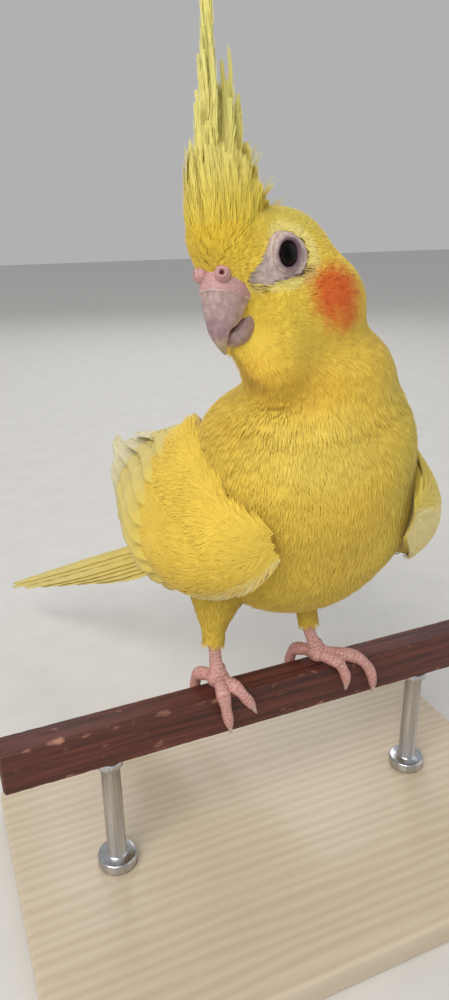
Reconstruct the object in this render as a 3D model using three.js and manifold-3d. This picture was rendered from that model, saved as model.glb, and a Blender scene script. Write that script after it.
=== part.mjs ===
// A life-size cockatiel gripping a short length of perch, its head turned to its right and its crest raised.
// A flat base and two short rods hold the perch. Millimetres, +Z up, +X along the perch to the bird's left,
// and the tail towards +Y. The origin is the middle of the base's underside.
import * as THREE from "three";
import { mergeVertices } from "three/addons/utils/BufferGeometryUtils.js";
import Module from "manifold-3d";

const wasm = await Module();
wasm.setup();

// Driving dimensions. The bird's own heights are measured up from the top of the perch.
const GAP = 0.3; // air kept between pieces that touch
const VANE = 0.55; // thickness of a feather
const PERCH = { length: 150, depth: 8, height: 12, top: 56, bevel: 0.9 };
const BASE = { length: 150, depth: 104, height: 8, corner: 14, bevel: 1.2 };
const ROD = { radius: 2.6, collar: 5.4, collarHeight: 3, seat: 3.6, seatHeight: 2, at: [-48, 48] };
const MIDLINE = 7; // x of the plane between the wings
const BLEND = 2; // how softly the masses of the body run into each other
const HEAD = { x: -10.7, y: -5.5, z: 110, turn: 61.6, nod: 6.2, roll: 6.5 };
const EYE = { radius: 3.4, side: 8.5, lookAhead: 14, facets: [12, 9] };
const LID = { radius: 3.75, thickness: 0.85, side: 10.5, ahead: 0.3, facets: [6, 16] };
const TAIL = { x: 4, y: 43, z: 28, swing: 27, drop: 26.5, twist: 18, length: 142, pairs: 6 };
const TORSO = { rings: 17, sides: 28, start: 0.4, crowding: 0.85 };
const NECK = { rings: 6, sides: 28 };
const SKULL = { rings: 14, sides: 28, crowding: 0.6 };
const REACH = 60; // farther than any of the flesh is from the middle of its section

// The ellipsoids that the flesh is blended from: centre and half sizes, in the bird's or in the head's frame.
const BODY_MASSES = [
  { at: [6.5, -4.5, 58], size: [27, 19, 23] }, // breast
  { at: [8.5, 7, 43], size: [29, 24.5, 25.5] }, // belly
  { at: [10.5, 5, 69], size: [27.5, 17, 13.5] }, // shoulders
  { at: [7, 19, 53], size: [20.5, 24, 15.5] }, // back
  { at: [5.5, 36, 36.5], size: [15, 19, 11.5] }, // rump
  { at: [8, -4.5, 82], size: [20, 13.5, 15] }, // neck
];
const HEAD_MASSES = [
  { at: [-8.5, 0, -1.6], size: [13.5, 11.8, 10.9] }, // skull
  { at: [3, 0, -4], size: [9, 8.3, 9.5] }, // face
  { at: [5.6, 0, 5], size: [8.4, 7.4, 7.6] }, // forehead
  { at: [-2, 5, -8.5], size: [8, 5.5, 6.5] }, // left cheek
  { at: [-2, -5, -8.5], size: [8, 5.5, 6.5] }, // right cheek
  { at: [-14, 3, -13], size: [14, 14, 12.5] }, // nape
  { at: [4.2, 0, -16], size: [6.2, 4.8, 5.6] }, // chin
];

// The sections of the trunk, from the tail's root to the neck: centre, then the way that the section faces.
const TRUNK_SECTIONS = [
  [4, 50, 28, 0.1, -0.92, 0.38],
  [5, 38, 34, 0, -0.88, 0.47],
  [6.5, 22, 43, 0, -0.78, 0.62],
  [6.5, 9, 52, 0, -0.6, 0.8],
  [6, 1, 62, -0.04, -0.4, 0.92],
  [5, -3, 73, -0.1, -0.25, 0.96],
  [3, -6, 82, -0.12, -0.15, 0.98],
];
const SECTIONS_BACK = 4; // how far behind the eyes the head's sections are centred
const HEAD_BOTTOM = -13;
const SECTION_FRONT = [0, -1, -0.35]; // the way that the front of each of the trunk's sections leans

// Rows of the folded wing's outer face: y, then how far out from the midline and how high
// its lower edge, its side and its upper edge are.
const WING_ROWS = [
  [-22, 17, 46, 19, 50, 19, 54],
  [-16, 23, 37.5, 30, 45.5, 26, 57],
  [-4, 29, 31, 38, 44, 26.5, 66],
  [13, 31.5, 30, 39, 45, 24, 71],
  [30, 30.5, 32, 36.5, 46, 18, 69],
  [48, 27, 32, 33, 45, 13, 63],
  [66, 24, 31.5, 29.5, 42, 10, 56],
  [86, 22, 31.5, 25.5, 39.5, 8.5, 49],
  [112, 19.5, 31.5, 20.5, 36, 8.5, 42],
  [144, 14, 31.5, 14.5, 33, 11, 36],
];

const point = (x, y, z) => new THREE.Vector3(x, y, z);
const mix = (a, b, t) => a + (b - a) * t;
const degrees = THREE.MathUtils.degToRad;

// A value from 0 to 1 that starts and ends gently.
function ease(t) {
  const c = Math.min(Math.max(t, 0), 1);
  return c * c * (3 - 2 * c);
}

// Numbers that run smoothly through rows of numbers, at row number u, by the Catmull-Rom formula.
function glide(rows, u) {
  const i = Math.min(Math.max(Math.floor(u), 0), rows.length - 2);
  const f = u - i;
  const before = rows[Math.max(i - 1, 0)];
  const after = rows[Math.min(i + 2, rows.length - 1)];
  return rows[i].map((b, k) => {
    const a = before[k];
    const c = rows[i + 1][k];
    const d = after[k];
    const square = 2 * a - 5 * b + 4 * c - d;
    const cube = 3 * b - a - 3 * c + d;
    return 0.5 * (2 * b + (c - a) * f + square * f * f + cube * f * f * f);
  });
}

// The head's own frame: x ahead, y to its left, z up, with the origin midway between the eyes.
const headMatrix = new THREE.Matrix4();
{
  const turn = degrees(HEAD.turn);
  const nod = degrees(HEAD.nod);
  const roll = degrees(HEAD.roll);
  const level = point(-Math.sin(turn), -Math.cos(turn), 0);
  const left = point(Math.cos(turn), -Math.sin(turn), 0);
  const ahead = level.clone().multiplyScalar(Math.cos(nod)).add(point(0, 0, -Math.sin(nod)));
  const up = point(0, 0, Math.cos(nod)).addScaledVector(level, Math.sin(nod));
  const rolledLeft = left.clone().multiplyScalar(Math.cos(roll)).addScaledVector(up, Math.sin(roll));
  const rolledUp = up.clone().multiplyScalar(Math.cos(roll)).addScaledVector(left, -Math.sin(roll));
  headMatrix.makeBasis(ahead, rolledLeft, rolledUp).setPosition(HEAD.x, HEAD.y, HEAD.z);
}
const toHead = headMatrix.clone().invert();

// How far outside the blended surface of the flesh a point is: each ellipsoid gives a distance,
// and the blend is the soft least of them.
function outside(p) {
  const inHead = p.clone().applyMatrix4(toHead);
  let sum = 0;
  for (const [masses, q] of [[BODY_MASSES, p], [HEAD_MASSES, inHead]]) {
    for (const { at, size } of masses) {
      const s = [q.x - at[0], q.y - at[1], q.z - at[2]].map((v, k) => v / size[k]);
      const reach = Math.hypot(...s);
      const slope = Math.max(Math.hypot(...s.map((v, k) => v / size[k])), 1e-9);
      sum += Math.exp((-reach * (reach - 1)) / slope / BLEND);
    }
  }
  return -BLEND * Math.log(sum);
}

// How far along a ray from inside the flesh its surface is, found by halving.
const HALVINGS = 22;

function surfaceAlong(start, direction) {
  let near = 0;
  let far = REACH;
  for (let i = 0; i < HALVINGS; i++) {
    const half = (near + far) / 2;
    if (outside(start.clone().addScaledVector(direction, half)) < 0) near = half;
    else far = half;
  }
  return near;
}

// One section of the flesh: where its plane is, which way it faces, and which way its front is.
function trunkSection(u) {
  const [x, y, z, nx, ny, nz] = glide(TRUNK_SECTIONS, u);
  const normal = point(nx, ny, nz).normalize();
  const front = point(...SECTION_FRONT);
  front.addScaledVector(normal, -front.dot(normal)).normalize();
  return { centre: point(x, y, z), normal, front };
}

function headSection(height) {
  const centre = point(-SECTIONS_BACK, 0, height).applyMatrix4(headMatrix);
  const normal = point(0, 0, 1).transformDirection(headMatrix);
  const front = point(1, 0, 0).transformDirection(headMatrix);
  return { centre, normal, front };
}

// A section between the top of the trunk, t = 0, and the bottom of the head, t = 1.
function neckSection(t) {
  const low = trunkSection(TRUNK_SECTIONS.length - 1);
  const high = headSection(HEAD_BOTTOM);
  const normal = low.normal.clone().lerp(high.normal, t).normalize();
  const front = low.front.clone().lerp(high.front, t);
  front.addScaledVector(normal, -front.dot(normal)).normalize();
  return { centre: low.centre.clone().lerp(high.centre, t), normal, front };
}

// The outline of the flesh in one section, grown outwards by a little where asked.
function sectionRing({ centre, normal, front }, sides, grow = 0) {
  const side = normal.clone().cross(front);
  return Array.from({ length: sides }, (_, i) => {
    const angle = (2 * Math.PI * i) / sides;
    const way = front.clone().multiplyScalar(Math.cos(angle)).addScaledVector(side, Math.sin(angle));
    return centre.clone().addScaledVector(way, surfaceAlong(centre, way) + grow);
  });
}

// A closed surface through rings of points, each end closed by a fan round its own middle.
// Columns named in mirrored have their squares split the other way, so that both faces of a thin vane match.
function loft(rings, mirrored = []) {
  const count = rings[0].length;
  const points = rings.flat();
  const faces = [];
  for (let r = 0; r + 1 < rings.length; r++) {
    for (let i = 0; i < count; i++) {
      const a = r * count + i;
      const b = r * count + ((i + 1) % count);
      const c = a + count;
      const d = b + count;
      if (mirrored.includes(i)) faces.push([a, b, c], [b, d, c]);
      else faces.push([a, b, d], [a, d, c]);
    }
  }
  const capped = count > 4;
  for (const [ring, start, turned] of [[rings[0], 0, true], [rings.at(-1), points.length - count, false]]) {
    const middle = points.length;
    if (capped) points.push(ring.reduce((sum, p) => sum.add(p), point(0, 0, 0)).divideScalar(count));
    for (let i = 0; i < (capped ? count : count - 2); i++) {
      const fan = [middle, start + i, start + ((i + 1) % count)];
      const face = capped ? fan : [start, start + i + 1, start + i + 2];
      faces.push(turned ? face.reverse() : face);
    }
  }
  const geometry = new THREE.BufferGeometry().setFromPoints(points);
  return geometry.setIndex(faces.flat());
}

// A closed three.js geometry as a solid that can be joined and cut, turned right side out.
function solid(geometry) {
  const bare = geometry.clone();
  bare.deleteAttribute("normal");
  bare.deleteAttribute("uv");
  const merged = mergeVertices(bare, 1e-4);
  const vertProperties = new Float32Array(merged.attributes.position.array);
  const triVerts = new Uint32Array(merged.index.array);
  const made = new wasm.Manifold(new wasm.Mesh({ numProp: 3, vertProperties, triVerts }));
  if (made.volume() > 0) return made;
  return new wasm.Manifold(new wasm.Mesh({ numProp: 3, vertProperties, triVerts: triVerts.reverse() }));
}

const join = (solids) => solids.reduce((a, b) => a.add(b));

// The solid back as a geometry, keeping only its largest closed surface.
function geometryOf(made) {
  const [largest] = made.decompose().sort((a, b) => b.volume() - a.volume());
  const mesh = largest.getMesh();
  const geometry = new THREE.BufferGeometry();
  geometry.setAttribute("position", new THREE.BufferAttribute(new Float32Array(mesh.vertProperties), 3));
  return geometry.setIndex(new THREE.BufferAttribute(new Uint32Array(mesh.triVerts), 1));
}

const materials = {};
function finish(name, color, roughness, metalness = 0) {
  materials[name] = new THREE.MeshStandardMaterial({ name, color, roughness, metalness });
}
finish("yellow_plumage", 0xe2c040, 0.85);
finish("flight_feathers", 0xe9dfa8, 0.7);
finish("horn", 0xc4a49c, 0.4);
finish("bare_skin", 0xd99a94, 0.6);
finish("eye", 0x120d0c, 0.05);
finish("perch_wood", 0x6b3428, 0.6);
finish("stand_wood", 0xcdb391, 0.5);
finish("stand_steel", 0xb9bcc0, 0.3, 1);

const part = new THREE.Group();
const bird = new THREE.Group();
bird.position.z = PERCH.top;
const head = new THREE.Group();
head.applyMatrix4(headMatrix);
part.add(bird);
bird.add(head);

function addMesh(group, name, material, geometry) {
  const mesh = new THREE.Mesh(geometry, materials[material]);
  mesh.name = name;
  group.add(mesh);
  return mesh;
}

// Torso: sections from the tail's root, where it closes to a point, up to the flat cut at the neck.
function torsoSolid(grow = 0) {
  const rings = [];
  const last = TRUNK_SECTIONS.length - 1;
  for (let r = 0; r < TORSO.rings; r++) {
    const u = last * Math.pow((r + TORSO.start) / (TORSO.rings - 1 + TORSO.start), TORSO.crowding);
    rings.push(sectionRing(trunkSection(u), TORSO.sides, grow));
  }
  if (grow) {
    const { normal } = trunkSection(last);
    rings.push(rings.at(-1).map((p) => p.clone().addScaledVector(normal, grow)));
  }
  return solid(loft(rings));
}

const torso = torsoSolid();
const torsoGrown = torsoSolid(GAP);
addMesh(bird, "torso", "yellow_plumage", geometryOf(torso));

// A piece of the bill: rows of front point, back point and half width, in the head's frame.
// Squared sections are flat towards the back point, as the cutting edges are.
function bill(rows, { grow = 0, square = 1, frontSquare = 1, rings = 6, sides = 16 } = {}) {
  const list = [];
  for (let r = 0; r < rings; r++) {
    const [fx, fz, bx, bz, half] = glide(rows, (r / (rings - 1)) * (rows.length - 1));
    const front = point(fx, 0, fz);
    const back = point(bx, 0, bz);
    const middle = front.clone().add(back).divideScalar(2);
    const reach = front.distanceTo(back) / 2 + grow;
    const way = front.clone().sub(back).normalize();
    const ring = [];
    for (let i = 0; i < sides; i++) {
      const angle = (2 * Math.PI * i) / sides;
      const along = Math.cos(angle);
      const power = along < 0 ? square : frontSquare;
      const lean = Math.sign(along) * Math.pow(Math.abs(along), power);
      const across = Math.sin(angle) * (half + grow);
      ring.push(middle.clone().addScaledVector(way, lean * reach).add(point(0, across, 0)));
    }
    list.push(ring);
  }
  if (grow) {
    const inward = list[0][0].clone().sub(list[1][0]).normalize();
    list[0] = list[0].map((p) => p.addScaledVector(inward, grow));
  }
  return solid(loft(list));
}

const CERE_ROWS = [
  [7.2, 4.1, 0.4, -5, 4.6],
  [11.2, 1, 2.2, -6.2, 5],
  [13.2, -1.2, 3.4, -7.2, 5],
  [14.45, -3.2, 4.8, -7.9, 4.8],
];
const UPPER_BEAK_ROWS = [
  [14.4, -3.3, 5.3, -7.8, 4.6],
  [14.7, -6.6, 7, -9.6, 4.3],
  [14.8, -10, 9, -11.5, 3.5],
  [14.7, -13.1, 11.7, -12.5, 2.4],
  [13.8, -15.6, 12.1, -14.8, 1.25],
  [12.6, -17.4, 12.1, -17.2, 0.3],
];
const LOWER_BEAK_ROWS = [
  [5, -8.8, 2.8, -11.6, 3.4],
  [7.2, -10.6, 5, -14, 3.4],
  [9.2, -12.2, 7.4, -15.4, 3],
  [11.2, -13.4, 9.8, -15.6, 2.2],
  [12.2, -14.2, 11.4, -15.2, 0.9],
];
const NOSTRIL = { x: 12.6, z: -1.2, side: 2.9, mound: 1.95, hole: 0.62, length: 3 };
const NOSTRIL_WAY = [0.8, 0.6, 0.35]; // the way out of the left one

function nostrilBall(side, radius) {
  const ball = new THREE.SphereGeometry(radius, 8, 6);
  return ball.translate(NOSTRIL.x, side * NOSTRIL.side, NOSTRIL.z);
}

function nostrilHole(side) {
  const hole = new THREE.CylinderGeometry(NOSTRIL.hole, NOSTRIL.hole * 0.6, NOSTRIL.length, 6);
  hole.translate(0, NOSTRIL.length / 2, 0);
  const [ahead, aside, up] = NOSTRIL_WAY;
  const outward = point(ahead, side * aside, up).normalize();
  hole.applyQuaternion(new THREE.Quaternion().setFromUnitVectors(point(0, 1, 0), outward));
  return hole.translate(NOSTRIL.x, side * NOSTRIL.side, NOSTRIL.z);
}

const upperBeak = bill(UPPER_BEAK_ROWS, { square: 0.5, rings: 9 });
const upperBeakGrown = bill(UPPER_BEAK_ROWS, { square: 0.5, rings: 9, grow: GAP });
const lowerBeak = bill(LOWER_BEAK_ROWS, { frontSquare: 0.5 }).subtract(upperBeakGrown);
const lowerBeakGrown = bill(LOWER_BEAK_ROWS, { frontSquare: 0.5, grow: GAP });
const mounds = [1, -1].map((side) => solid(nostrilBall(side, NOSTRIL.mound)));
const moundsGrown = [1, -1].map((side) => solid(nostrilBall(side, NOSTRIL.mound + GAP)));
const cereGrown = join([bill(CERE_ROWS, { square: 0.5, grow: GAP }), ...moundsGrown]);
const swollen = join([bill(CERE_ROWS, { square: 0.5 }), ...mounds]);
const fitted = swollen.subtract(upperBeakGrown).subtract(lowerBeakGrown);
const cere = [1, -1].reduce((made, side) => made.subtract(solid(nostrilHole(side))), fitted);
addMesh(head, "beak_upper", "horn", geometryOf(upperBeak));
addMesh(head, "beak_lower", "horn", geometryOf(lowerBeak));
addMesh(head, "cere", "bare_skin", geometryOf(cere));

// Neck: a short length of the same flesh between two flat cuts, with room for the bill.
{
  const rings = [];
  const low = neckSection(0);
  const high = neckSection(1);
  for (let r = 0; r < NECK.rings; r++) {
    rings.push(sectionRing(neckSection(r / (NECK.rings - 1)), NECK.sides));
  }
  rings[0] = rings[0].map((p) => p.addScaledVector(low.normal, GAP));
  rings[NECK.rings - 1] = rings[NECK.rings - 1].map((p) => p.addScaledVector(high.normal, -GAP));
  const bills = [upperBeakGrown, lowerBeakGrown].map((b) => solid(geometryOf(b).applyMatrix4(headMatrix)));
  const made = bills.reduce((a, b) => a.subtract(b), solid(loft(rings)));
  addMesh(bird, "neck", "yellow_plumage", geometryOf(made));
}

// Eyes: balls set in sockets, each looking out and a little ahead, inside a raised ring of lid.
function eyeDirection(side) {
  const ahead = degrees(EYE.lookAhead);
  return point(Math.sin(ahead), side * Math.cos(ahead), 0);
}

function eyeBall(side, radius) {
  return new THREE.SphereGeometry(radius, ...EYE.facets).translate(0, side * EYE.side, 0);
}

function lidRing(side) {
  const ring = new THREE.TorusGeometry(LID.radius, LID.thickness, ...LID.facets);
  ring.applyQuaternion(new THREE.Quaternion().setFromUnitVectors(point(0, 0, 1), eyeDirection(side)));
  return ring.translate(LID.ahead, side * LID.side, 0);
}

for (const [name, side] of [["eye_left", 1], ["eye_right", -1]]) {
  const mesh = addMesh(head, name, "eye", new THREE.SphereGeometry(EYE.radius, ...EYE.facets));
  mesh.position.y = side * EYE.side;
}

// A feather: rings of four points round a line, wide as its profile says, thinning at the tip.
// at(s) gives the middle, the way to one side and the way that its upper face looks.
const FEATHER_PROFILE = [
  [0, 0.5],
  [0.33, 0.95],
  [0.7, 1],
  [0.9, 0.7],
  [1, 0.2],
];

function feather(at, halfWidth, thickness = VANE, profile = FEATHER_PROFILE) {
  const rings = profile.map(([s, wide]) => {
    const { middle, side, face } = at(s);
    const half = halfWidth * wide;
    const thick = (s > 0.95 ? 0.6 : 1) * thickness * 0.5;
    const corner = (a, b) => middle.clone().addScaledVector(side, a * half).addScaledVector(face, b * thick);
    return [corner(-1, 1), corner(1, 1), corner(1, -1), corner(-1, -1)];
  });
  return solid(loft(rings, [2, 3]));
}

// Crest: feathers rooted along the crown in three staggered rows, the longest in front, upright and leaning
// back a little more towards the crown, and bending back at their tips. The middle row faces ahead and the
// two outer rows face more to their own side.
const CREST = {
  count: 15, front: 12.4, back: -6, tip: -4, spread: 3.1, twist: 56, longest: 55, shortest: 11, shrink: 0.62,
  outer: 0.84, low: 3, high: 7, lean: 2.4, together: 0.65, half: [2.3, 1.9],
};

function crestFeather(i) {
  const t = i / (CREST.count - 1);
  const row = (i % 3) - 1;
  const inRow = mix(CREST.longest, CREST.shortest, Math.pow(t, CREST.shrink));
  const length = inRow * (row === 0 ? 1 : CREST.outer);
  const height = mix(CREST.low, CREST.high, ease(t * 2)) - Math.abs(row);
  const root = point(mix(CREST.front, CREST.back, t), row * CREST.spread, height);
  const back = CREST.tip - root.x - CREST.lean * t;
  const inwards = (s) => root.y * (1 - CREST.together * s);
  const along = (s) => point(root.x + back * mix(0.1, 1, s) * s, inwards(s), root.z + length * s);
  return feather((s) => {
    const way = along(s + 0.01).sub(along(s - 0.01)).normalize();
    const twist = degrees(row * CREST.twist);
    const side = point(-Math.sin(twist), Math.cos(twist), 0);
    side.addScaledVector(way, -side.dot(way)).normalize();
    return { middle: along(s), side, face: side.clone().cross(way) };
  }, mix(...CREST.half, t), VANE, CREST_PROFILE);
}

const CREST_PROFILE = [
  [0, 0.7],
  [0.35, 1],
  [0.7, 0.75],
  [1, 0.2],
];

// Head: sections from the cut at the neck to the crown, with the crest, the lids, and room for eyes and bill.
{
  const rings = [];
  const axis = headSection(0);
  const crown = surfaceAlong(axis.centre, axis.normal);
  for (let r = 0; r < SKULL.rings; r++) {
    const t = r / (SKULL.rings - 1);
    const height = mix(HEAD_BOTTOM, crown, mix(t, Math.sin((t * Math.PI) / 2), SKULL.crowding));
    rings.push(sectionRing(headSection(height), SKULL.sides).map((p) => p.applyMatrix4(toHead)));
  }
  let made = solid(loft(rings));
  made = join([made, ...[1, -1].map((side) => solid(lidRing(side)))]);
  made = join([made, ...Array.from({ length: CREST.count }, (_, i) => crestFeather(i))]);
  for (const side of [1, -1]) made = made.subtract(solid(eyeBall(side, EYE.radius + GAP)));
  made = made.subtract(upperBeakGrown).subtract(lowerBeakGrown).subtract(cereGrown);
  addMesh(head, "head", "yellow_plumage", geometryOf(made));
}

// The outer face of a folded wing at y, with t from the lower edge over the side to the upper edge,
// as a curve through the three named places of its row. side is 1 on the bird's left and -1 on its right.
function wingPlace(side, y, t) {
  let u = 0;
  while (u < WING_ROWS.length - 2 && WING_ROWS[u + 1][0] < y) u += 1;
  const from = WING_ROWS[u][0];
  const to = WING_ROWS[u + 1][0];
  const [, lowOut, lowUp, sideOut, sideUp, topOut, topUp] = glide(WING_ROWS, u + (y - from) / (to - from));
  const bow = (low, through, top) => {
    const pull = 2 * through - (low + top) / 2;
    return (1 - t) * (1 - t) * low + 2 * t * (1 - t) * pull + t * t * top;
  };
  return point(MIDLINE + side * bow(lowOut, sideOut, topOut), y, bow(lowUp, sideUp, topUp));
}

// The way that the wing's outer face looks.
function wingFacing(side, y, t) {
  const step = 0.5;
  const along = wingPlace(side, y + step, t).sub(wingPlace(side, y - step, t));
  const across = wingPlace(side, y, t + 0.02).sub(wingPlace(side, y, t - 0.02));
  return along.cross(across).multiplyScalar(side).normalize();
}

const ALIKE = { line: 0.42, from: 12, over: 30 }; // behind here, the lower feathers face as this line does
const ROOT_SUNK = 2.4; // how far under the wing's outer face a feather's root is

// A feather that lies on the wing's outer face from (y, t) at its root to (y, t) at its tip. It rises from
// inside the pad to its own height, and tilts so that its lower edge lies over the feather below.
function wingFeather(side, { root, tip, rise, half, tilt }) {
  const place = (s) => [mix(root[0], tip[0], s), mix(root[1], tip[1], s)];
  return feather((s) => {
    const [y, t] = place(s);
    const way = wingPlace(side, ...place(s + 0.02)).sub(wingPlace(side, ...place(s - 0.02))).normalize();
    const out = wingFacing(side, y, Math.max(t, ALIKE.line * ease((y - ALIKE.from) / ALIKE.over)));
    const middle = wingPlace(side, y, t).addScaledVector(out, mix(-ROOT_SUNK, rise(y), ease(s * 2.6)));
    const across = out.clone().cross(way).multiplyScalar(side).normalize();
    across.applyAxisAngle(way, -side * tilt * ease(s * 3));
    return { middle, side: across, face: across.clone().cross(way).multiplyScalar(side) };
  }, half);
}

// The wing's tiers. Its three upper tiers have a feather on each of the same lines along the wing, one tier
// a step above the other; towards their tips each line also lies a step above the line below it.
const WING_LINES = { count: 6, lowest: 0.16, highest: 0.92, step: 0.6, from: 38, over: 45 };
const TIER_STEP = 0.9;
const WING_TIERS = [
  { roots: [26, 36], tips: [80, 99], half: 5.4 }, // secondaries and tertials
  { roots: [12, 20], tips: [50, 60], half: 5 }, // greater coverts
  { roots: [-2, 6], tips: [30, 37], half: 4.8 }, // median coverts
];
const TILT = 0.34;
const PRIMARIES = {
  count: 5, roots: [[12, 0.12], [26, 0.3]], tips: [[144, 0.3], [104, 0.5]], half: 4.6, step: 0.7, sunk: 6.5,
  from: 20, over: 40, tipSunk: 1.5, riseFrom: 96, riseOver: 42,
};

function wingFeathers(side) {
  const feathers = [];
  WING_TIERS.forEach(({ roots, tips, half }, tier) => {
    for (let i = 0; i < WING_LINES.count; i++) {
      const t = i / (WING_LINES.count - 1);
      const line = mix(WING_LINES.lowest, WING_LINES.highest, t);
      const root = [mix(...roots, t), line];
      const tip = [mix(...tips, t), line];
      const fan = (i - (WING_LINES.count - 1) / 2) * WING_LINES.step;
      const rise = (y) => TIER_STEP * (tier - 1) + fan * ease((y - WING_LINES.from) / WING_LINES.over);
      feathers.push(wingFeather(side, { root, tip, rise, half, tilt: TILT }));
    }
  });
  for (let i = 0; i < PRIMARIES.count; i++) {
    const t = i / (PRIMARIES.count - 1);
    const { roots, tips, half, step, sunk, from, over, tipSunk, riseFrom, riseOver } = PRIMARIES;
    const root = [mix(roots[0][0], roots[1][0], t), mix(roots[0][1], roots[1][1], t)];
    const tip = [mix(tips[0][0], tips[1][0], t), mix(tips[0][1], tips[1][1], t)];
    const under = step * (PRIMARIES.count - 1 - i);
    const sinks = (y) => mix(sunk, tipSunk, ease((y - riseFrom) / riseOver));
    const rise = (y) => -sinks(y) - under * ease((y - from) / over);
    feathers.push(wingFeather(side, { root, tip, rise, half, tilt: TILT }));
  }
  return feathers;
}

const PAD = {
  from: -21, to: 52, rings: 13, across: 8, thickness: 7.5, skin: -0.4, edge: 0.12,
  thinFrom: 0.45, thinOver: 0.55, thin: 0.85,
};

// The wing's own flesh under its coverts: its outer face follows the wing's, its inner face lies inside that,
// and it thins out towards the back.
function wingPad(side) {
  const rings = [];
  for (let r = 0; r < PAD.rings; r++) {
    const along = r / (PAD.rings - 1);
    const y = mix(PAD.from, PAD.to, along * mix(0.45, 1, along)); // closer together in front
    const outer = [];
    const inner = [];
    for (let i = 0; i < PAD.across; i++) {
      const t = i / (PAD.across - 1);
      const facing = wingFacing(side, y, t);
      const round = Math.sin(Math.PI * mix(PAD.edge, 1 - PAD.edge, t));
      const kept = 1 - PAD.thin * ease((along - PAD.thinFrom) / PAD.thinOver);
      const depth = PAD.thickness * round * kept * ease(along * 6 + 0.25);
      outer.push(wingPlace(side, y, t).addScaledVector(facing, PAD.skin));
      inner.push(wingPlace(side, y, t).addScaledVector(facing, PAD.skin - 0.5 - depth));
    }
    rings.push([...outer, ...inner.reverse()]);
  }
  return solid(loft(rings));
}

function wing(side) {
  return join([wingPad(side), ...wingFeathers(side)]).subtract(torsoGrown);
}

for (const [name, side] of [["wing_left", 1], ["wing_right", -1]]) {
  addMesh(bird, name, "flight_feathers", geometryOf(wing(side)));
}

// Tail: in its own frame, with +Y along it and +Z out of its upper side.
const tail = new THREE.Group();
tail.position.set(TAIL.x, TAIL.y, TAIL.z);
tail.rotation.set(degrees(-TAIL.drop), degrees(-TAIL.twist), degrees(TAIL.swing), "ZXY");
bird.add(tail);

// One of a pair of tail feathers. The middle pair is the longest and lies uppermost, the left one on the
// right one; each further pair lies under the one before it and a little to its side.
const TAIL_PROFILE = [
  [0, 0.45],
  [0.3, 0.9],
  [0.6, 1],
  [0.85, 0.72],
  [1, 0.16],
];

const TAIL_FEATHERS = {
  shorter: 13.5, half: 3.4, middleAside: 0.8, aside: 2.6, spread: 1.05, step: 0.85, sag: 1.2,
};

function tailFeather(pair, side) {
  const { shorter, half, middleAside, spread, step, sag } = TAIL_FEATHERS;
  const length = TAIL.length - pair * shorter;
  const aside = side * (pair === 0 ? middleAside : TAIL_FEATHERS.aside + spread * pair);
  const level = pair === 0 && side > 0 ? 0.9 : -step * pair;
  return feather((s) => {
    const middle = point(aside * (0.75 + 0.6 * ease(s * 1.6) - 0.55 * s * s), length * s, level - sag * s);
    return { middle, side: point(1, 0, 0), face: point(0, 0, 1) };
  }, half, VANE, TAIL_PROFILE);
}

// The feathers over and under the tail's root: three above and three below, the middle one outermost.
const TAIL_COVERTS = {
  spacing: 4.6, half: 3.8, start: -4, outer: 0.8, layer: 0.9,
  above: { length: 44, lift: [3.2, 2.6] },
  below: { length: 56, lift: [-3, -6.6] },
};
const TAIL_CORE = { half: [7.5, 15, 4.6], at: [0, 3, -1.4] };

function tailCovert(place, up) {
  const { spacing, half, start, outer, layer } = TAIL_COVERTS;
  const { length, lift } = up > 0 ? TAIL_COVERTS.above : TAIL_COVERTS.below;
  const own = length * (place === 0 ? 1 : outer);
  const raised = place === 0 ? layer * up : 0;
  return feather((s) => {
    const level = mix(...lift, ease(s * 1.4)) + raised;
    const middle = point(place * spacing, start + own * s, level);
    return { middle, side: point(1, 0, 0), face: point(0, 0, 1) };
  }, half);
}

{
  const core = new THREE.SphereGeometry(1, 16, 10).scale(...TAIL_CORE.half).translate(...TAIL_CORE.at);
  const pieces = [solid(core)];
  for (let pair = 0; pair < TAIL.pairs; pair++) {
    pieces.push(tailFeather(pair, 1), tailFeather(pair, -1));
  }
  for (const place of [-1, 0, 1]) pieces.push(tailCovert(place, 1), tailCovert(place, -1));
  tail.updateMatrixWorld(true);
  const inBird = new THREE.Matrix4().compose(tail.position, tail.quaternion, tail.scale);
  const rooted = solid(geometryOf(join(pieces)).applyMatrix4(inBird)).subtract(torsoGrown);
  addMesh(tail, "tail", "flight_feathers", geometryOf(rooted).applyMatrix4(inBird.clone().invert()));
}

const TUBE_STEPS = 1.4; // rings for each stretch between two points of a tube

// A round tube along points, with its own radius at each, and flat ends.
function tube(points, radii, sides = 8) {
  const curve = new THREE.CatmullRomCurve3(points.map((p) => point(...p)));
  const steps = Math.ceil((points.length - 1) * TUBE_STEPS);
  const frames = curve.computeFrenetFrames(steps, false);
  const rings = [];
  for (let r = 0; r <= steps; r++) {
    const centre = curve.getPoint(curve.getUtoTmapping(r / steps));
    const u = (r / steps) * (radii.length - 1);
    const [radius] = glide(radii.map((v) => [v]), u);
    const ring = [];
    for (let i = 0; i < sides; i++) {
      const angle = (2 * Math.PI * i) / sides;
      const out = frames.normals[r].clone().multiplyScalar(Math.cos(angle) * radius);
      ring.push(centre.clone().add(out).addScaledVector(frames.binormals[r], Math.sin(angle) * radius));
    }
    rings.push(ring);
  }
  return loft(rings);
}

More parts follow.
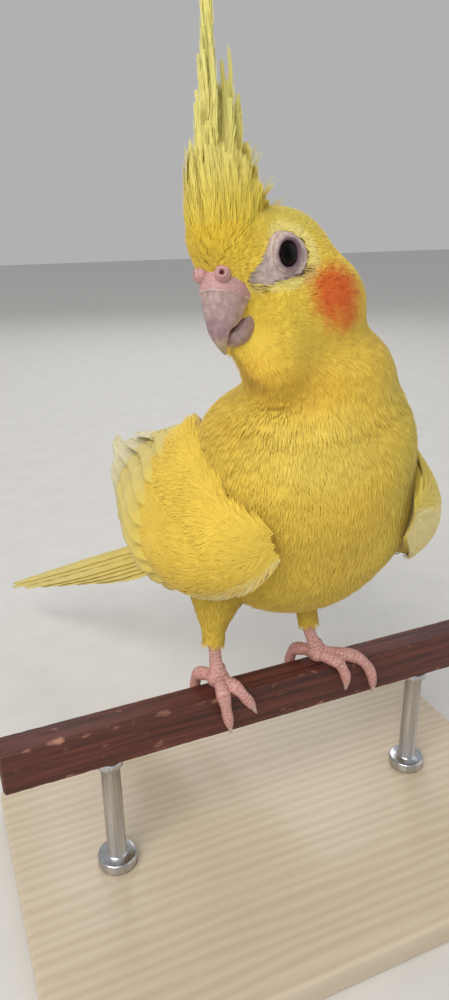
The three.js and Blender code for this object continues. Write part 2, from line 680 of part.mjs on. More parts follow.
// Feet: a shank and four toes, two in front of the perch and two behind, each ending at its claw.
const SHANK_RADII = [2.1, 1.7, 1.75, 2.5];
const TOE_RADII = [2, 1.75, 1.9, 1.45, 1.5, 1.05];
const FEET = {
  left: {
    shank: [[10.4, 1.6, 16], [10.7, 0.9, 11.5], [11.8, 0.2, 7.5], [13.2, -0.4, 3.8]],
    toes: [
      [
        [13, -0.4, 3.4], [17.5, -3, 3.6], [22.5, -5.4, 2.5],
        [26, -6.4, -1], [27.6, -6.5, -4.6], [28.3, -6.4, -8],
      ],
      [
        [13, -0.4, 3.2], [14.6, -3, 3.2], [16.8, -5.4, 2.2],
        [18.2, -6.4, -0.4], [19, -6.4, -2.8], [19.3, -6.3, -4.8],
      ],
      [[13, 0.4, 3.2], [10.8, 3, 3.2], [9, 5.4, 2.2], [8.2, 6.4, -0.6], [7.9, 6.4, -3], [7.7, 6.3, -5]],
      [[13.4, 0.4, 3.2], [15, 3, 3.2], [16, 5.4, 2.2], [16.4, 6.4, -1], [16.6, 6.5, -4], [16.6, 6.3, -6.8]],
    ],
  },
  right: {
    shank: [[-16.9, 3, 16], [-17, 2.2, 11.5], [-17.2, 1, 7.5], [-17.2, -0.2, 3.8]],
    toes: [
      [
        [-17.2, -0.4, 3.4], [-17.7, -3.1, 3.4], [-18, -5.5, 2.2],
        [-17.7, -6.4, -1], [-17.2, -6.5, -4.4], [-16.6, -6.5, -7.8],
      ],
      [
        [-17, -0.4, 3.2], [-15.4, -3.1, 3.2], [-13.8, -5.4, 2.3],
        [-12.3, -6.5, 0.3], [-11, -7, -1.6], [-10.2, -7.2, -3.2],
      ],
      [
        [-17.4, 0.4, 3.2], [-19, 3, 3.2], [-20.6, 5.4, 2.2],
        [-21.2, 6.4, -0.6], [-21.4, 6.4, -3], [-21.5, 6.3, -5],
      ],
      [
        [-17, 0.4, 3.2], [-15.6, 3, 3.2], [-14.6, 5.4, 2.2],
        [-14.2, 6.4, -1], [-14, 6.5, -4], [-14, 6.3, -6.8],
      ],
    ],
  },
};
const CLAW = { length: 4.6, radius: 0.95, curl: 43, narrow: 0.8, tip: 0.06, sides: 6, rings: 5 };

const perchGrown = solid(new THREE.BoxGeometry(PERCH.length, PERCH.depth + 2 * GAP, PERCH.height + 2 * GAP)
  .translate(0, 0, -PERCH.height / 2));

// A claw: a cone that goes on from the toe's end and curls in towards the perch.
function claw(toe) {
  const end = point(...toe.at(-1));
  const way = end.clone().sub(point(...toe.at(-2))).normalize();
  const inward = point(0, -Math.sign(end.y), 0);
  const turnAxis = way.clone().cross(inward).normalize();
  const across = turnAxis.clone();
  const rings = [];
  const centre = end.clone().addScaledVector(way, GAP);
  for (let r = 0; r < CLAW.rings; r++) {
    const s = r / (CLAW.rings - 1);
    const heading = way.clone().applyAxisAngle(turnAxis, degrees(CLAW.curl) * s);
    const out = across.clone().cross(heading);
    const radius = CLAW.radius * Math.pow(mix(1, CLAW.tip, s), 0.8);
    const ring = [];
    for (let i = 0; i < CLAW.sides; i++) {
      const angle = (2 * Math.PI * i) / CLAW.sides;
      const p = centre.clone().addScaledVector(across, radius * CLAW.narrow * Math.cos(angle));
      ring.push(p.addScaledVector(out, radius * Math.sin(angle)));
    }
    rings.push(ring);
    centre.addScaledVector(heading, CLAW.length / (CLAW.rings - 1));
  }
  return solid(loft(rings)).subtract(perchGrown);
}

for (const [name, { shank, toes }] of Object.entries(FEET)) {
  const pieces = [solid(tube(shank, SHANK_RADII)), ...toes.map((toe) => solid(tube(toe, TOE_RADII)))];
  addMesh(bird, "foot_" + name, "bare_skin", geometryOf(join(pieces).subtract(perchGrown)));
  toes.forEach((toe, i) => addMesh(bird, "claw_" + name + "_" + (i + 1), "horn", geometryOf(claw(toe))));
}

// Thighs: feathered cones from the belly down to the shank.
const THIGHS = {
  left: {
    points: [[10.5, 9, 34], [10.2, 5, 25], [10.2, 2.4, 19], [10.4, 1.5, 15.6]],
    radii: [9, 6.5, 4.4, 2.9],
  },
  right: {
    points: [[-11, 9, 34], [-14.5, 5.5, 26], [-16.3, 3.6, 20], [-16.9, 2.9, 15.6]],
    radii: [11.5, 9.5, 6, 3.1],
  },
};
for (const [name, { points, radii }] of Object.entries(THIGHS)) {
  const shank = solid(tube(FEET[name].shank, SHANK_RADII.map((r) => r + GAP)));
  const thigh = solid(tube(points, radii, 16)).subtract(torsoGrown).subtract(shank);
  addMesh(bird, "thigh_" + name, "yellow_plumage", geometryOf(thigh));
}

// Perch: a bar of rectangular section with its four long edges bevelled.
{
  const y = PERCH.depth / 2;
  const z = PERCH.height / 2;
  const b = PERCH.bevel;
  const below = [[-y, b - z], [b - y, -z], [y - b, -z], [y, b - z]];
  const outline = [...below, [y, z - b], [y - b, z], [b - y, z], [-y, z - b]];
  const section = new THREE.Shape(outline.map(([p, q]) => new THREE.Vector2(p, q)));
  const bar = new THREE.ExtrudeGeometry(section, { depth: PERCH.length, bevelEnabled: false });
  bar.translate(0, 0, -PERCH.length / 2);
  bar.rotateX(Math.PI / 2).rotateZ(Math.PI / 2);
  const mesh = addMesh(part, "perch", "perch_wood", geometryOf(solid(bar)));
  mesh.position.z = PERCH.top - PERCH.height / 2;
}

// Stand: a flat base with rounded corners, and two rods with a collar at the foot and a seat under the perch.
{
  const x = BASE.length / 2 - BASE.corner - BASE.bevel;
  const y = BASE.depth / 2 - BASE.corner - BASE.bevel;
  const outline = new THREE.Shape();
  const corners = [[x, y, 0], [-x, y, 90], [-x, -y, 180], [x, -y, 270]];
  for (const [cx, cy, from] of corners) {
    outline.absarc(cx, cy, BASE.corner, degrees(from), degrees(from + 90), false);
  }
  const plate = new THREE.ExtrudeGeometry(outline, {
    depth: BASE.height - 2 * BASE.bevel,
    bevelThickness: BASE.bevel,
    bevelSize: BASE.bevel,
    bevelSegments: 1,
    curveSegments: 5,
  });
  plate.translate(0, 0, BASE.bevel);
  addMesh(part, "stand_base", "stand_wood", geometryOf(solid(plate)));
  const top = PERCH.top - PERCH.height - GAP;
  const bottom = BASE.height + GAP;
  const profile = [
    [0, bottom],
    [ROD.collar, bottom],
    [ROD.collar, bottom + ROD.collarHeight],
    [ROD.radius, bottom + ROD.collarHeight + 1],
    [ROD.radius, top - ROD.seatHeight - 1],
    [ROD.seat, top - ROD.seatHeight],
    [ROD.seat, top],
    [0, top],
  ].map(([r, z]) => new THREE.Vector2(r, z));
  ROD.at.forEach((at, i) => {
    const rod = new THREE.LatheGeometry(profile, 12).rotateX(Math.PI / 2);
    const name = "stand_rod_" + (i === 0 ? "right" : "left");
    const mesh = addMesh(part, name, "stand_steel", geometryOf(solid(rod)));
    mesh.position.x = at;
  });
}

export default part;
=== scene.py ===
"""A life-size cockatiel gripping a short perch on a plain stand: skin, feathers, bill, eyes, feet, wood and steel.

Shapes are worked out in millimetres, +Z up from the underside of the base, and written to the meshes in metres.
"""

import bmesh
import bpy
import numpy as np
from mathutils import Matrix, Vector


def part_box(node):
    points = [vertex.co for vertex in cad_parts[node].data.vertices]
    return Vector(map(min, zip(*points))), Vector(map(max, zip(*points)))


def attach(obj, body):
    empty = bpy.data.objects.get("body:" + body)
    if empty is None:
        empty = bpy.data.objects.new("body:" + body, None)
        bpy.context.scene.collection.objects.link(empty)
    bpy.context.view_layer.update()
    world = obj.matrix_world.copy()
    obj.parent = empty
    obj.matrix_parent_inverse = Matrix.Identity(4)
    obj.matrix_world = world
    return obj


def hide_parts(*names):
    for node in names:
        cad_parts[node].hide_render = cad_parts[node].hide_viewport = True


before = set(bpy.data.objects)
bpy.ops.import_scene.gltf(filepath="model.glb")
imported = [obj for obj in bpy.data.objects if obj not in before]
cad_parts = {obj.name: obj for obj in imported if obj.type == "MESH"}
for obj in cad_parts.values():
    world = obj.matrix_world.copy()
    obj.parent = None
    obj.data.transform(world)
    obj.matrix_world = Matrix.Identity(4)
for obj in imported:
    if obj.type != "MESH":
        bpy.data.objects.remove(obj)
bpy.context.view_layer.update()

# Camera: a hand-held lens a short arm's length from the head, looking down at the bird from its right front.
# Its heading is measured from +Y towards +X, its pitch downwards.
LENS_AT = np.array([-78.66, -152.66, 174.5])
HEADING, PITCH, ROLL = np.radians([22.8, 21.3, 0.8])
LENS_MM, SENSOR_MM, NEAREST_M = 26.28, 36, 0.01
MM = 0.001

ahead = np.array([np.sin(HEADING) * np.cos(PITCH), np.cos(HEADING) * np.cos(PITCH), -np.sin(PITCH)])
level = np.array([np.cos(HEADING), -np.sin(HEADING), 0])
above = np.cross(level, ahead)
camera = bpy.data.objects.new("camera", bpy.data.cameras.new("camera"))
bpy.context.scene.collection.objects.link(camera)
camera.data.lens, camera.data.sensor_width, camera.data.clip_start = LENS_MM, SENSOR_MM, NEAREST_M
turned = np.eye(4)
turned[:3, 0] = level * np.cos(ROLL) - above * np.sin(ROLL)
turned[:3, 1] = level * np.sin(ROLL) + above * np.cos(ROLL)
turned[:3, 2] = -ahead
turned[:3, 3] = LENS_AT * MM
camera.matrix_world = Matrix(turned.tolist())
bpy.context.scene.camera = camera

# Light: a broad soft window high on the left, a weaker one on the right, one behind that lights the edges, and an
# even pale surround. All three windows face the bird.
SURROUND_COLOUR, SURROUND_STRENGTH = (0.88, 0.88, 0.89, 1), 0.5
AIM_AT = np.array([0, 0, 0.13])
WINDOWS = {
    "window_left": {"at": (-0.62, -0.5, 0.85), "size": 0.7, "watts": 9, "colour": (1, 0.97, 0.93)},
    "window_right": {"at": (0.8, -0.35, 0.45), "size": 0.8, "watts": 1.3, "colour": (0.93, 0.96, 1)},
    "window_back": {"at": (0.3, 0.9, 0.7), "size": 0.6, "watts": 2.6, "colour": (1, 1, 1)},
}

world = bpy.data.worlds.new("surround")
world.use_nodes = True
world.node_tree.nodes["Background"].inputs["Color"].default_value = SURROUND_COLOUR
world.node_tree.nodes["Background"].inputs["Strength"].default_value = SURROUND_STRENGTH
bpy.context.scene.world = world
bpy.context.scene.view_settings.view_transform = "Standard"
for name, window in WINDOWS.items():
    lamp = bpy.data.objects.new(name, bpy.data.lights.new(name, "AREA"))
    lamp.data.size, lamp.data.energy, lamp.data.color = window["size"], window["watts"], window["colour"]
    back = np.array(window["at"]) - AIM_AT
    back /= np.linalg.norm(back)
    across = np.cross([0, 0, 1], back)
    across /= np.linalg.norm(across)
    placed = np.eye(4)
    placed[:3, :4] = np.stack([across, np.cross(back, across), back, window["at"]], 1)
    lamp.matrix_world = Matrix(placed.tolist())
    bpy.context.scene.collection.objects.link(lamp)

# Floor: a plain pale painted board, far larger than the stand, that is no part of the model. Its section also has
# what makes the meshes and the materials of all the others.
FLOOR_HALF, FLOOR_RGB, FLOOR_UNEVEN = 3000, np.array([214, 212, 208]), 3


def linear(rgb):
    """Colours written as 0 to 255 screen values, as linear light: a power curve of 2.4 that is straight at its foot."""
    c = np.asarray(rgb, float) / 255
    return np.where(c < 0.04045, c / 12.92, ((c + 0.055) / 1.055) ** 2.4)


def make_mesh(name, points, faces, material, colour=None, patch=None, values=None):
    """A mesh object from arrays: points (n, 3) in millimetres, faces (m, 3 or 4) of point numbers, and for each
    point a linear colour, a place on the OFBake map and any further named values."""
    mesh = bpy.data.meshes.new(name)
    count, corners = faces.shape
    mesh.vertices.add(len(points))
    mesh.vertices.foreach_set("co", (points * MM).astype(np.float32).ravel())
    mesh.loops.add(count * corners)
    mesh.loops.foreach_set("vertex_index", faces.astype(np.int32).ravel())
    mesh.polygons.add(count)
    mesh.polygons.foreach_set("loop_start", np.arange(count, dtype=np.int32) * corners)
    mesh.update(calc_edges=True)
    mesh.polygons.foreach_set("use_smooth", np.ones(count, bool))
    if colour is not None:
        tint = mesh.color_attributes.new("tint", "FLOAT_COLOR", "POINT")
        rgba = np.ones((len(points), 4), np.float32)
        rgba[:, :3] = colour
        tint.data.foreach_set("color", rgba.ravel())
    if patch is not None:
        layer = mesh.uv_layers.new(name="OFBake")
        layer.data.foreach_set("uv", patch[faces.ravel()].astype(np.float32).ravel())
    for key, numbers in (values or {}).items():
        mesh.attributes.new(key, "FLOAT", "POINT").data.foreach_set("value", numbers.astype(np.float32).ravel())
    mesh.materials.append(material)
    made = bpy.data.objects.new(name, mesh)
    bpy.context.scene.collection.objects.link(made)
    return made


def add_piece(name, points, faces, material, slot, replaces=(), **more):
    """A piece of the bird or its stand: it rides on the one body and may stand for nodes of the solid model."""
    made = make_mesh(name, points, faces, material, **more)
    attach(made, "root")
    if replaces:
        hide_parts(*replaces)
    return made


def new_material(name, rough=0.5, **sockets):
    """A principled material, with its shader and its node tree to go on with."""
    material = bpy.data.materials.new(name)
    material.use_nodes = True
    shader = material.node_tree.nodes["Principled BSDF"]
    shader.inputs["Roughness"].default_value = rough
    for key, value in sockets.items():
        shader.inputs[key.replace("_", " ")].default_value = value
    return material, shader, material.node_tree


def add_node(tree, kind, settings=None, **inputs):
    """A shader node with its settings, and each input given as a value or as the socket that feeds it."""
    node = tree.nodes.new(kind)
    for key, value in (settings or {}).items():
        setattr(node, key, value)
    for key, value in inputs.items():
        socket = node.inputs[int(key[1:])] if key[0] == "_" else node.inputs[key.replace("_", " ")]
        if isinstance(value, bpy.types.NodeSocket):
            tree.links.new(value, socket)
        else:
            socket.default_value = value
    return node


def add_place(tree, stretch=(1, 1, 1)):
    """The place on the object in its own metres, for patterns that stretch along any axis whose number is small."""
    place = add_node(tree, "ShaderNodeTexCoord").outputs["Object"]
    return add_node(tree, "ShaderNodeMapping", Vector=place, Scale=stretch).outputs["Vector"]


def add_noise(tree, scale, detail=4, stretch=(1, 1, 1)):
    """Noise over the object, with so many waves to the metre."""
    place = add_place(tree, stretch)
    return add_node(tree, "ShaderNodeTexNoise", Vector=place, Scale=scale, Detail=detail).outputs["Fac"]


def add_ramp(tree, factor, stops):
    """A colour ramp through stops of position and 0 to 255 colour."""
    ramp = add_node(tree, "ShaderNodeValToRGB", Fac=factor)
    for i, (at, rgb) in enumerate(stops):
        stop = ramp.color_ramp.elements[i] if i < 2 else ramp.color_ramp.elements.new(at)
        stop.position = at
        stop.color = (*linear(rgb), 1)
    return ramp.outputs["Color"]


def paint(tree, shader, colour):
    """A colour socket into the shader's base colour."""
    tree.links.new(colour, shader.inputs["Base Color"])


def add_bump(tree, shader, height, strength, distance):
    """Bump from a height socket into the shader, its distance in metres."""
    bump = add_node(tree, "ShaderNodeBump", Height=height, Strength=strength, Distance=distance)
    tree.links.new(bump.outputs["Normal"], shader.inputs["Normal"])


board, shader, tree = new_material("pale_board", rough=0.7)
shades = [(0.3, FLOOR_RGB - FLOOR_UNEVEN), (0.7, FLOOR_RGB + FLOOR_UNEVEN)]
paint(tree, shader, add_ramp(tree, add_noise(tree, 60), shades))
floor_corners = np.array([[-1, -1, 0], [1, -1, 0], [1, 1, 0], [-1, 1, 0]]) * FLOOR_HALF
floor = make_mesh("floor", floor_corners.astype(float), np.array([[0, 1, 2, 3]]), board)

# Perch: a short cut length of a square hardwood bar, stained dark red-brown, its edges rubbed pale and its top worn.
# It is sawn square at both ends.
PERCH_RINGS, PERCH_ROUND, PERCH_DENT, PERCH_END, EDGE_WORN = 220, 0.9, 0.14, 0.7, 1.3
PERCH_DARK, PERCH_RED, PERCH_BARE = (62, 27, 23), (118, 60, 48), (172, 126, 102)
WHITE, CLOUD_GREY = (255, 255, 255), (150, 150, 150)
WEAR_GAIN, WEAR_LEVEL, CHIP_EDGE = 0.24, -0.67, 6.0
perch_low, perch_high = (np.array(corner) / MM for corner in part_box("perch"))
PERCH_TOP = perch_high[2]


def mix(first, second, part):
    """From a first number or colour, at part 0, to a second, at part 1."""
    return first + (second - first) * part


def drift(points, size, seed=0):
    """Smooth noise from -1 to 1: random values on a lattice of cubes of that size, blended by a cubic ease."""
    q = np.asarray(points, float) / size
    cell = np.floor(q)
    f = q - cell
    f = f * f * (3 - 2 * f)
    total = 0
    for corner in np.ndindex(2, 2, 2):
        mixed = np.sin((cell + corner) @ np.array([127.1, 311.7, 74.7]) + seed * 17.3) * 43758.5453
        weight = np.prod(np.where(np.array(corner) == 1, f, 1 - f), axis=-1)
        total = total + weight * (2 * (mixed - np.floor(mixed)) - 1)
    return total


def round_box(width, height, corner, arc=8, side=10):
    """Points round a rectangle whose corners are quarter arcs, with even steps along its straight sides."""
    turn = np.linspace(0, np.pi / 2, arc)
    ring = []
    between = np.linspace(0, 1, side)[1:-1, None]
    for k, (sx, sy) in enumerate([(1, 1), (-1, 1), (-1, -1), (1, -1)]):
        middle = np.array([sx * (width / 2 - corner), sy * (height / 2 - corner)])
        bend = middle + corner * np.stack([np.cos(turn + k * np.pi / 2), np.sin(turn + k * np.pi / 2)], 1)
        if ring:
            ring.append(mix(ring[-1][-1], bend[0], between))
        ring.append(bend)
    ring.append(mix(ring[-1][-1], ring[0][0], between))
    return np.concatenate(ring)


def wrap(rings, columns):
    """The quads between rings of points, each ring joined round on itself."""
    r, c = np.meshgrid(np.arange(rings - 1), np.arange(columns), indexing="ij")
    near, far = r * columns + c, r * columns + (c + 1) % columns
    return np.stack([near, far, far + columns, near + columns], -1).reshape(-1, 4)


def closed_tube(rings):
    """Rings of points (r, c, 3) as one closed surface, each end drawn in to a single point by two last rings."""
    first, last = (np.broadcast_to(ring.mean(0), ring.shape)[None] for ring in (rings[0], rings[-1]))
    full = np.concatenate([first, rings, last])
    return full.reshape(-1, 3), wrap(*full.shape[:2])


def weld(piece):
    """Joins the points that lie on one another at a closed tube's ends, and drops the faces that had no area."""
    soft = bmesh.new()
    soft.from_mesh(piece.data)
    bmesh.ops.remove_doubles(soft, verts=soft.verts, dist=1e-7)
    bmesh.ops.dissolve_degenerate(soft, edges=soft.edges, dist=1e-8)
    bmesh.ops.recalc_face_normals(soft, faces=soft.faces)
    soft.to_mesh(piece.data)
    soft.free()
    return piece


def add_value(tree, name, output="Fac"):
    """The socket of a value that the mesh carries by name."""
    return add_node(tree, "ShaderNodeAttribute", {"attribute_name": name}).outputs[output]


def add_math(tree, operation, *values, clamp=False):
    """The socket of a sum done on up to three numbers or sockets."""
    inputs = {"_" + str(i): value for i, value in enumerate(values)}
    return add_node(tree, "ShaderNodeMath", {"operation": operation, "use_clamp": clamp}, **inputs).outputs[0]


def add_mix(tree, part, first, second, way="MIX"):
    """The socket of one colour mixed into another, or multiplied into it, by a part."""
    settings = {"data_type": "RGBA", "blend_type": way}
    return add_node(tree, "ShaderNodeMix", settings, _0=part, _6=first, _7=second).outputs[2]


length, depth, height = perch_high - perch_low
x = perch_low[0] + length * (1 - np.cos(np.pi * np.linspace(0, 1, PERCH_RINGS))) / 2
outline = round_box(depth, height, PERCH_ROUND, side=14)
draw_in = PERCH_END * (1 - np.clip(np.minimum(x - perch_low[0], perch_high[0] - x) / PERCH_END, 0, 1)) ** 2
rings = np.zeros((PERCH_RINGS, len(outline), 3))
rings[..., 0] = x[:, None]
rings[..., 1:] = outline * (1 - draw_in[:, None, None] / (depth / 2)) + [0, PERCH_TOP - height / 2]
dent = drift(rings * [0.25, 1, 1], 2.2, 3) * 0.5 + drift(rings * [0.5, 1, 1], 0.9, 5) * 0.5
centred = rings - [0, 0, PERCH_TOP - height / 2]
rings[..., 1:] -= (centred / np.linalg.norm(centred[..., 1:], axis=-1, keepdims=True))[..., 1:] * (
    PERCH_DENT * np.clip(dent, 0, 1)[..., None])
from_side, from_top = depth / 2 - np.abs(centred[..., 1]), height / 2 - np.abs(centred[..., 2])
edge = np.clip(1 - (from_side + from_top) / EDGE_WORN, 0, 1)
points, faces = closed_tube(rings)
wear = np.concatenate([np.zeros(len(outline)), edge.ravel(), np.zeros(len(outline))])
perch_wood, shader, tree = new_material("stained_hardwood", rough=0.55)
grain = add_noise(tree, 900, 6, (0.04, 1, 1))
figure = add_noise(tree, 160, 3, (0.12, 1, 1))
stain = add_ramp(tree, grain, [(0.3, PERCH_DARK), (0.72, PERCH_RED)])
cloudy = add_ramp(tree, figure, [(0.3, CLOUD_GREY), (0.7, WHITE)])
stained = add_mix(tree, 0.55, stain, cloudy, "MULTIPLY")
bare = add_math(tree, "MULTIPLY_ADD", add_value(tree, "wear"), WEAR_GAIN, WEAR_LEVEL)
bare = add_math(tree, "ADD", bare, add_noise(tree, 420, 5, (0.5, 1, 1)))
bare = add_math(tree, "MULTIPLY", bare, CHIP_EDGE, clamp=True)
paint(tree, shader, add_mix(tree, bare, stained, (*linear(PERCH_BARE), 1)))
add_bump(tree, shader, grain, 0.35, 0.0003)
weld(add_piece("perch_bar", points, faces, perch_wood, "perch_wood", ["perch"], values={"wear": wear}))

# Stand: a flat base of lacquered ash with round corners and eased edges, and two brushed steel rods, each with a
# collar screwed to the base and a seat under the perch.
BASE_CORNER, BASE_EASE, BASE_STEPS, BASE_ARC = 15.2, 1.2, 7, 14
ROD_RADIUS, COLLAR_RADIUS, COLLAR_HEIGHT, SEAT_RADIUS, SEAT_HEIGHT, ROD_SIDES = 2.6, 5.4, 3, 3.6, 2, 64
ASH_PALE, ASH_DARK, STEEL_PALE, STEEL_DARK = (207, 192, 168), (196, 179, 153), (206, 207, 210), (176, 178, 182)

ash, shader, tree = new_material("lacquered_ash", rough=0.38, Coat_Weight=0.3, Coat_Roughness=0.15)
grain = add_noise(tree, 520, 7, (0.05, 1, 0.3))
broad = add_node(tree, "ShaderNodeTexWave", {"bands_direction": "Y"}, Scale=95, Distortion=6, Detail=4,
                 Vector=add_place(tree, (0.12, 1, 1)))
rays = add_node(tree, "ShaderNodeMix", {"data_type": "FLOAT"}, _0=0.6, _2=broad.outputs["Fac"], _3=grain)
paint(tree, shader, add_ramp(tree, rays.outputs[0], [(0.25, ASH_DARK), (0.75, ASH_PALE)]))
add_bump(tree, shader, grain, 0.15, 0.0003)
base_low, base_high = (np.array(corner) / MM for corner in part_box("stand_base"))
length, depth, height = base_high - base_low
quarter = np.linspace(0, np.pi / 2, BASE_STEPS)
falling, rising = BASE_EASE * (1 - np.sin(quarter)), BASE_EASE * (1 - np.cos(quarter))
insets = np.concatenate([[BASE_CORNER * 0.9], falling, rising, [BASE_CORNER * 0.9]])
levels = np.concatenate([[0], rising, height - falling, [height]])
rings = np.stack([np.insert(round_box(length - 2 * d, depth - 2 * d, BASE_CORNER - d, arc=BASE_ARC), 2, z, axis=1)
                  for d, z in zip(insets, levels)])
points, faces = closed_tube(rings)
weld(add_piece("stand_base_board", points, faces, ash, "stand_wood", ["stand_base"]))

steel, shader, tree = new_material("brushed_steel", rough=0.28, Metallic=1.0)
brush = add_noise(tree, 1500, 3, (1, 1, 0.03))
paint(tree, shader, add_ramp(tree, brush, [(0.3, STEEL_DARK), (0.7, STEEL_PALE)]))
add_bump(tree, shader, brush, 0.12, 0.0001)


def full_turn(count):
    """Angles at even steps round a circle."""
    return np.linspace(0, 2 * np.pi, count, endpoint=False)


for name in ("stand_rod_left", "stand_rod_right"):
    low, high = (np.array(corner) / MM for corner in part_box(name))
    x, bottom, top = (low[0] + high[0]) / 2, low[2], high[2]
    shoulder, seat = bottom + COLLAR_HEIGHT, top - SEAT_HEIGHT
    profile = np.array([
        [COLLAR_RADIUS - 0.4, bottom], [COLLAR_RADIUS - 0.1, bottom + 0.1], [COLLAR_RADIUS, bottom + 0.4],
        [COLLAR_RADIUS, shoulder - 0.5], [COLLAR_RADIUS - 0.15, shoulder - 0.15], [COLLAR_RADIUS - 0.5, shoulder],
        [ROD_RADIUS + 0.5, shoulder + 0.3], [ROD_RADIUS, shoulder + 0.9], [ROD_RADIUS, seat - 1],
        [SEAT_RADIUS - 0.2, seat - 0.1], [SEAT_RADIUS, seat + 0.2], [SEAT_RADIUS, top - 0.2],
        [SEAT_RADIUS - 0.2, top]])
    angle = full_turn(ROD_SIDES)
    rings = np.stack([x + profile[:, :1] * np.cos(angle), profile[:, :1] * np.sin(angle),
                      np.broadcast_to(profile[:, 1:], (len(profile), ROD_SIDES))], -1)
    points, faces = closed_tube(rings)
    weld(add_piece(name + "_turned", points, faces, steel, "stand_steel", [name]))

# Skin: the bird's flesh under its feathers, one surface from the tail's root over breast and neck to the crown, and
# a sleeve for each thigh. It is the blend of the masses of breast, belly, back, neck and skull, drawn in by the depth
# of the coat, and it carries the coat's own colours, darkened a little as painted shade under the feathers.
BLEND = 2
HEAD_AT, HEAD_TURN, HEAD_NOD, HEAD_ROLL = np.array([-10.7, -5.5, 110]), *np.radians([61.6, 6.2, 6.5])
BODY_MASSES = np.array([
    [6.5, -4.5, 58, 27, 19, 23],
    [8.5, 7, 43, 29, 24.5, 25.5],
    [10.5, 5, 69, 27.5, 17, 13.5],
    [9, 13, 61, 20, 17, 12.5],
    [7, 19, 53, 20.5, 24, 15.5],
    [6.2, 28.5, 44, 16, 18, 11.5],
    [5.5, 36, 36.5, 15, 19, 11.5],
    [9, -4.5, 82, 18.6, 13.2, 14],
    [3.5, -4.5, 74, 14, 13.5, 8.5],
    [-8.5, 0, 65.5, 11, 12, 9],
    [24, -5, 66, 10, 10, 13],
    [22, -9, 48, 8.5, 9, 14],
])
HEAD_MASSES = np.array([
    [-8.5, 0, -1.6, 13.5, 11.8, 10.9],
    [3, 0, -4, 9, 8.3, 9.5],
    [5.6, 0, 5, 8.4, 7.4, 7.6],
    [-2, 5, -8.5, 8, 5.5, 6.5],
    [-2, -5, -8.5, 8, 5.5, 6.5],
    [-14, 3, -13, 14, 14, 12.5],
    [3.6, 1, -15.5, 5.8, 4.4, 5.6],
    [-0.5, 1, -21.5, 4.8, 5.4, 6],
    [1.5, 6, -21, 7.5, 5.6, 7],
    [-1.5, 6.5, -13, 8, 5.2, 6],
    [-1.5, -6.5, -13, 8, 5.2, 6],
])
TRUNK_SECTIONS = np.array([
    [4, 50, 28, 0.1, -0.92, 0.38],
    [5, 38, 34, 0, -0.88, 0.47],
    [6.5, 22, 43, 0, -0.78, 0.62],
    [6.5, 9, 52, 0, -0.6, 0.8],
    [6, 1, 62, -0.04, -0.4, 0.92],
    [5, -3, 73, -0.1, -0.25, 0.96],
    [3, -6, 82, -0.12, -0.15, 0.98],
])
TRUNK_END, NECK_END, SPINE_END, FRONTWARD = 6, 7, 8, np.array([0, -1, -0.35])
SECTION_BACK, HEAD_BOTTOM, HEAD_HIGHEST, FARTHEST = 4, -13, 20, 60
SKIN_START, SKIN_RINGS, SKIN_COLUMNS = 0.12, 200, 130
GAPE_AT, GAPE_SIZE, GAPE_DEEP = np.array([9.3, 6, -12.2]), np.array([5, 4.2, 8.2]), 4.4
COAT_ON_BODY, COAT_ON_HEAD = 1.3, 0.7
GOLD, LEMON, ORANGE_GOLD, CHEEK = (234, 201, 80), (234, 210, 98), (226, 174, 56), (222, 92, 42)
FLANK_PAINTED_SHADE, LOWER_BELLY_PAINTED_SHADE, FACE_LEMON, FOREHEAD_GOLD = (214, 196, 86), (216, 184, 72), (240, 210, 80), (234, 200, 58)
CROWN_LEMON, RING_LEMON = (208, 196, 96), (240, 228, 150)
EYE_SIDE, EYE_AHEAD = 8.5, np.radians(14)
RING_REACH, LORE_REACH, LORE_TURN, LORE_SPREAD = 4.8, 5.4, np.radians(-24), np.radians(32)
BACK_REACH, BACK_SPREAD, MIDLINE_CLEAR, FAR_OFF = 0.5, 0.6, 3, 9.0
CHEEK_AT, CHEEK_SIZE = np.array([-8.6, 10, -9.6]), np.array([8.9, 8, 7.2])
SHEEN, STREAK_GREY, UNDERCOAT_PAINTED_SHADE = {"Sheen_Weight": 0.15, "Sheen_Roughness": 0.5}, (241, 241, 241), 0.9


def unit(v):
    """Vectors scaled to length one."""
    return v / np.maximum(np.linalg.norm(v, axis=-1, keepdims=True), 1e-12)


def square_to(v, way):
    """Vectors without their part along a way of length one, scaled to length one."""
    return unit(v - way * (v * way).sum(-1, keepdims=True))


def ease(t):
    """From 0 to 1 with a gentle start and end: three squares less two cubes."""
    t = np.clip(t, 0, 1)
    return t * t * (3 - 2 * t)


def hump(x, middle, width):
    """A smooth rise to 1 at the middle that falls off by a width on either side."""
    return np.exp(-(((x - middle) / width) ** 2))


def mirrored(q):
    """Points of the head's frame brought over to its left side."""
    return np.stack([q[..., 0], np.abs(q[..., 1]), q[..., 2]], -1)


def glide(rows, u):
    """Numbers that run smoothly through rows of numbers, at row number u, by the Catmull-Rom formula."""
    rows, u = np.asarray(rows, float), np.asarray(u, float)
    i = np.clip(np.floor(u).astype(int), 0, len(rows) - 2)
    f = (u - i)[..., None]
    a, b, c, d = (rows[np.clip(i + k, 0, len(rows) - 1)] for k in (-1, 0, 1, 2))
    return 0.5 * (2 * b + (c - a) * f + (2 * a - 5 * b + 4 * c - d) * f**2 + (3 * b - a - 3 * c + d) * f**3)


sideways = np.array([-np.sin(HEAD_TURN), -np.cos(HEAD_TURN), 0])
leftward = np.array([np.cos(HEAD_TURN), -np.sin(HEAD_TURN), 0])
nose = sideways * np.cos(HEAD_NOD) - np.array([0, 0, np.sin(HEAD_NOD)])
crownward = np.array([0, 0, np.cos(HEAD_NOD)]) + sideways * np.sin(HEAD_NOD)
HEAD_AXES = np.stack([nose, leftward * np.cos(HEAD_ROLL) + crownward * np.sin(HEAD_ROLL),
                      crownward * np.cos(HEAD_ROLL) - leftward * np.sin(HEAD_ROLL)])


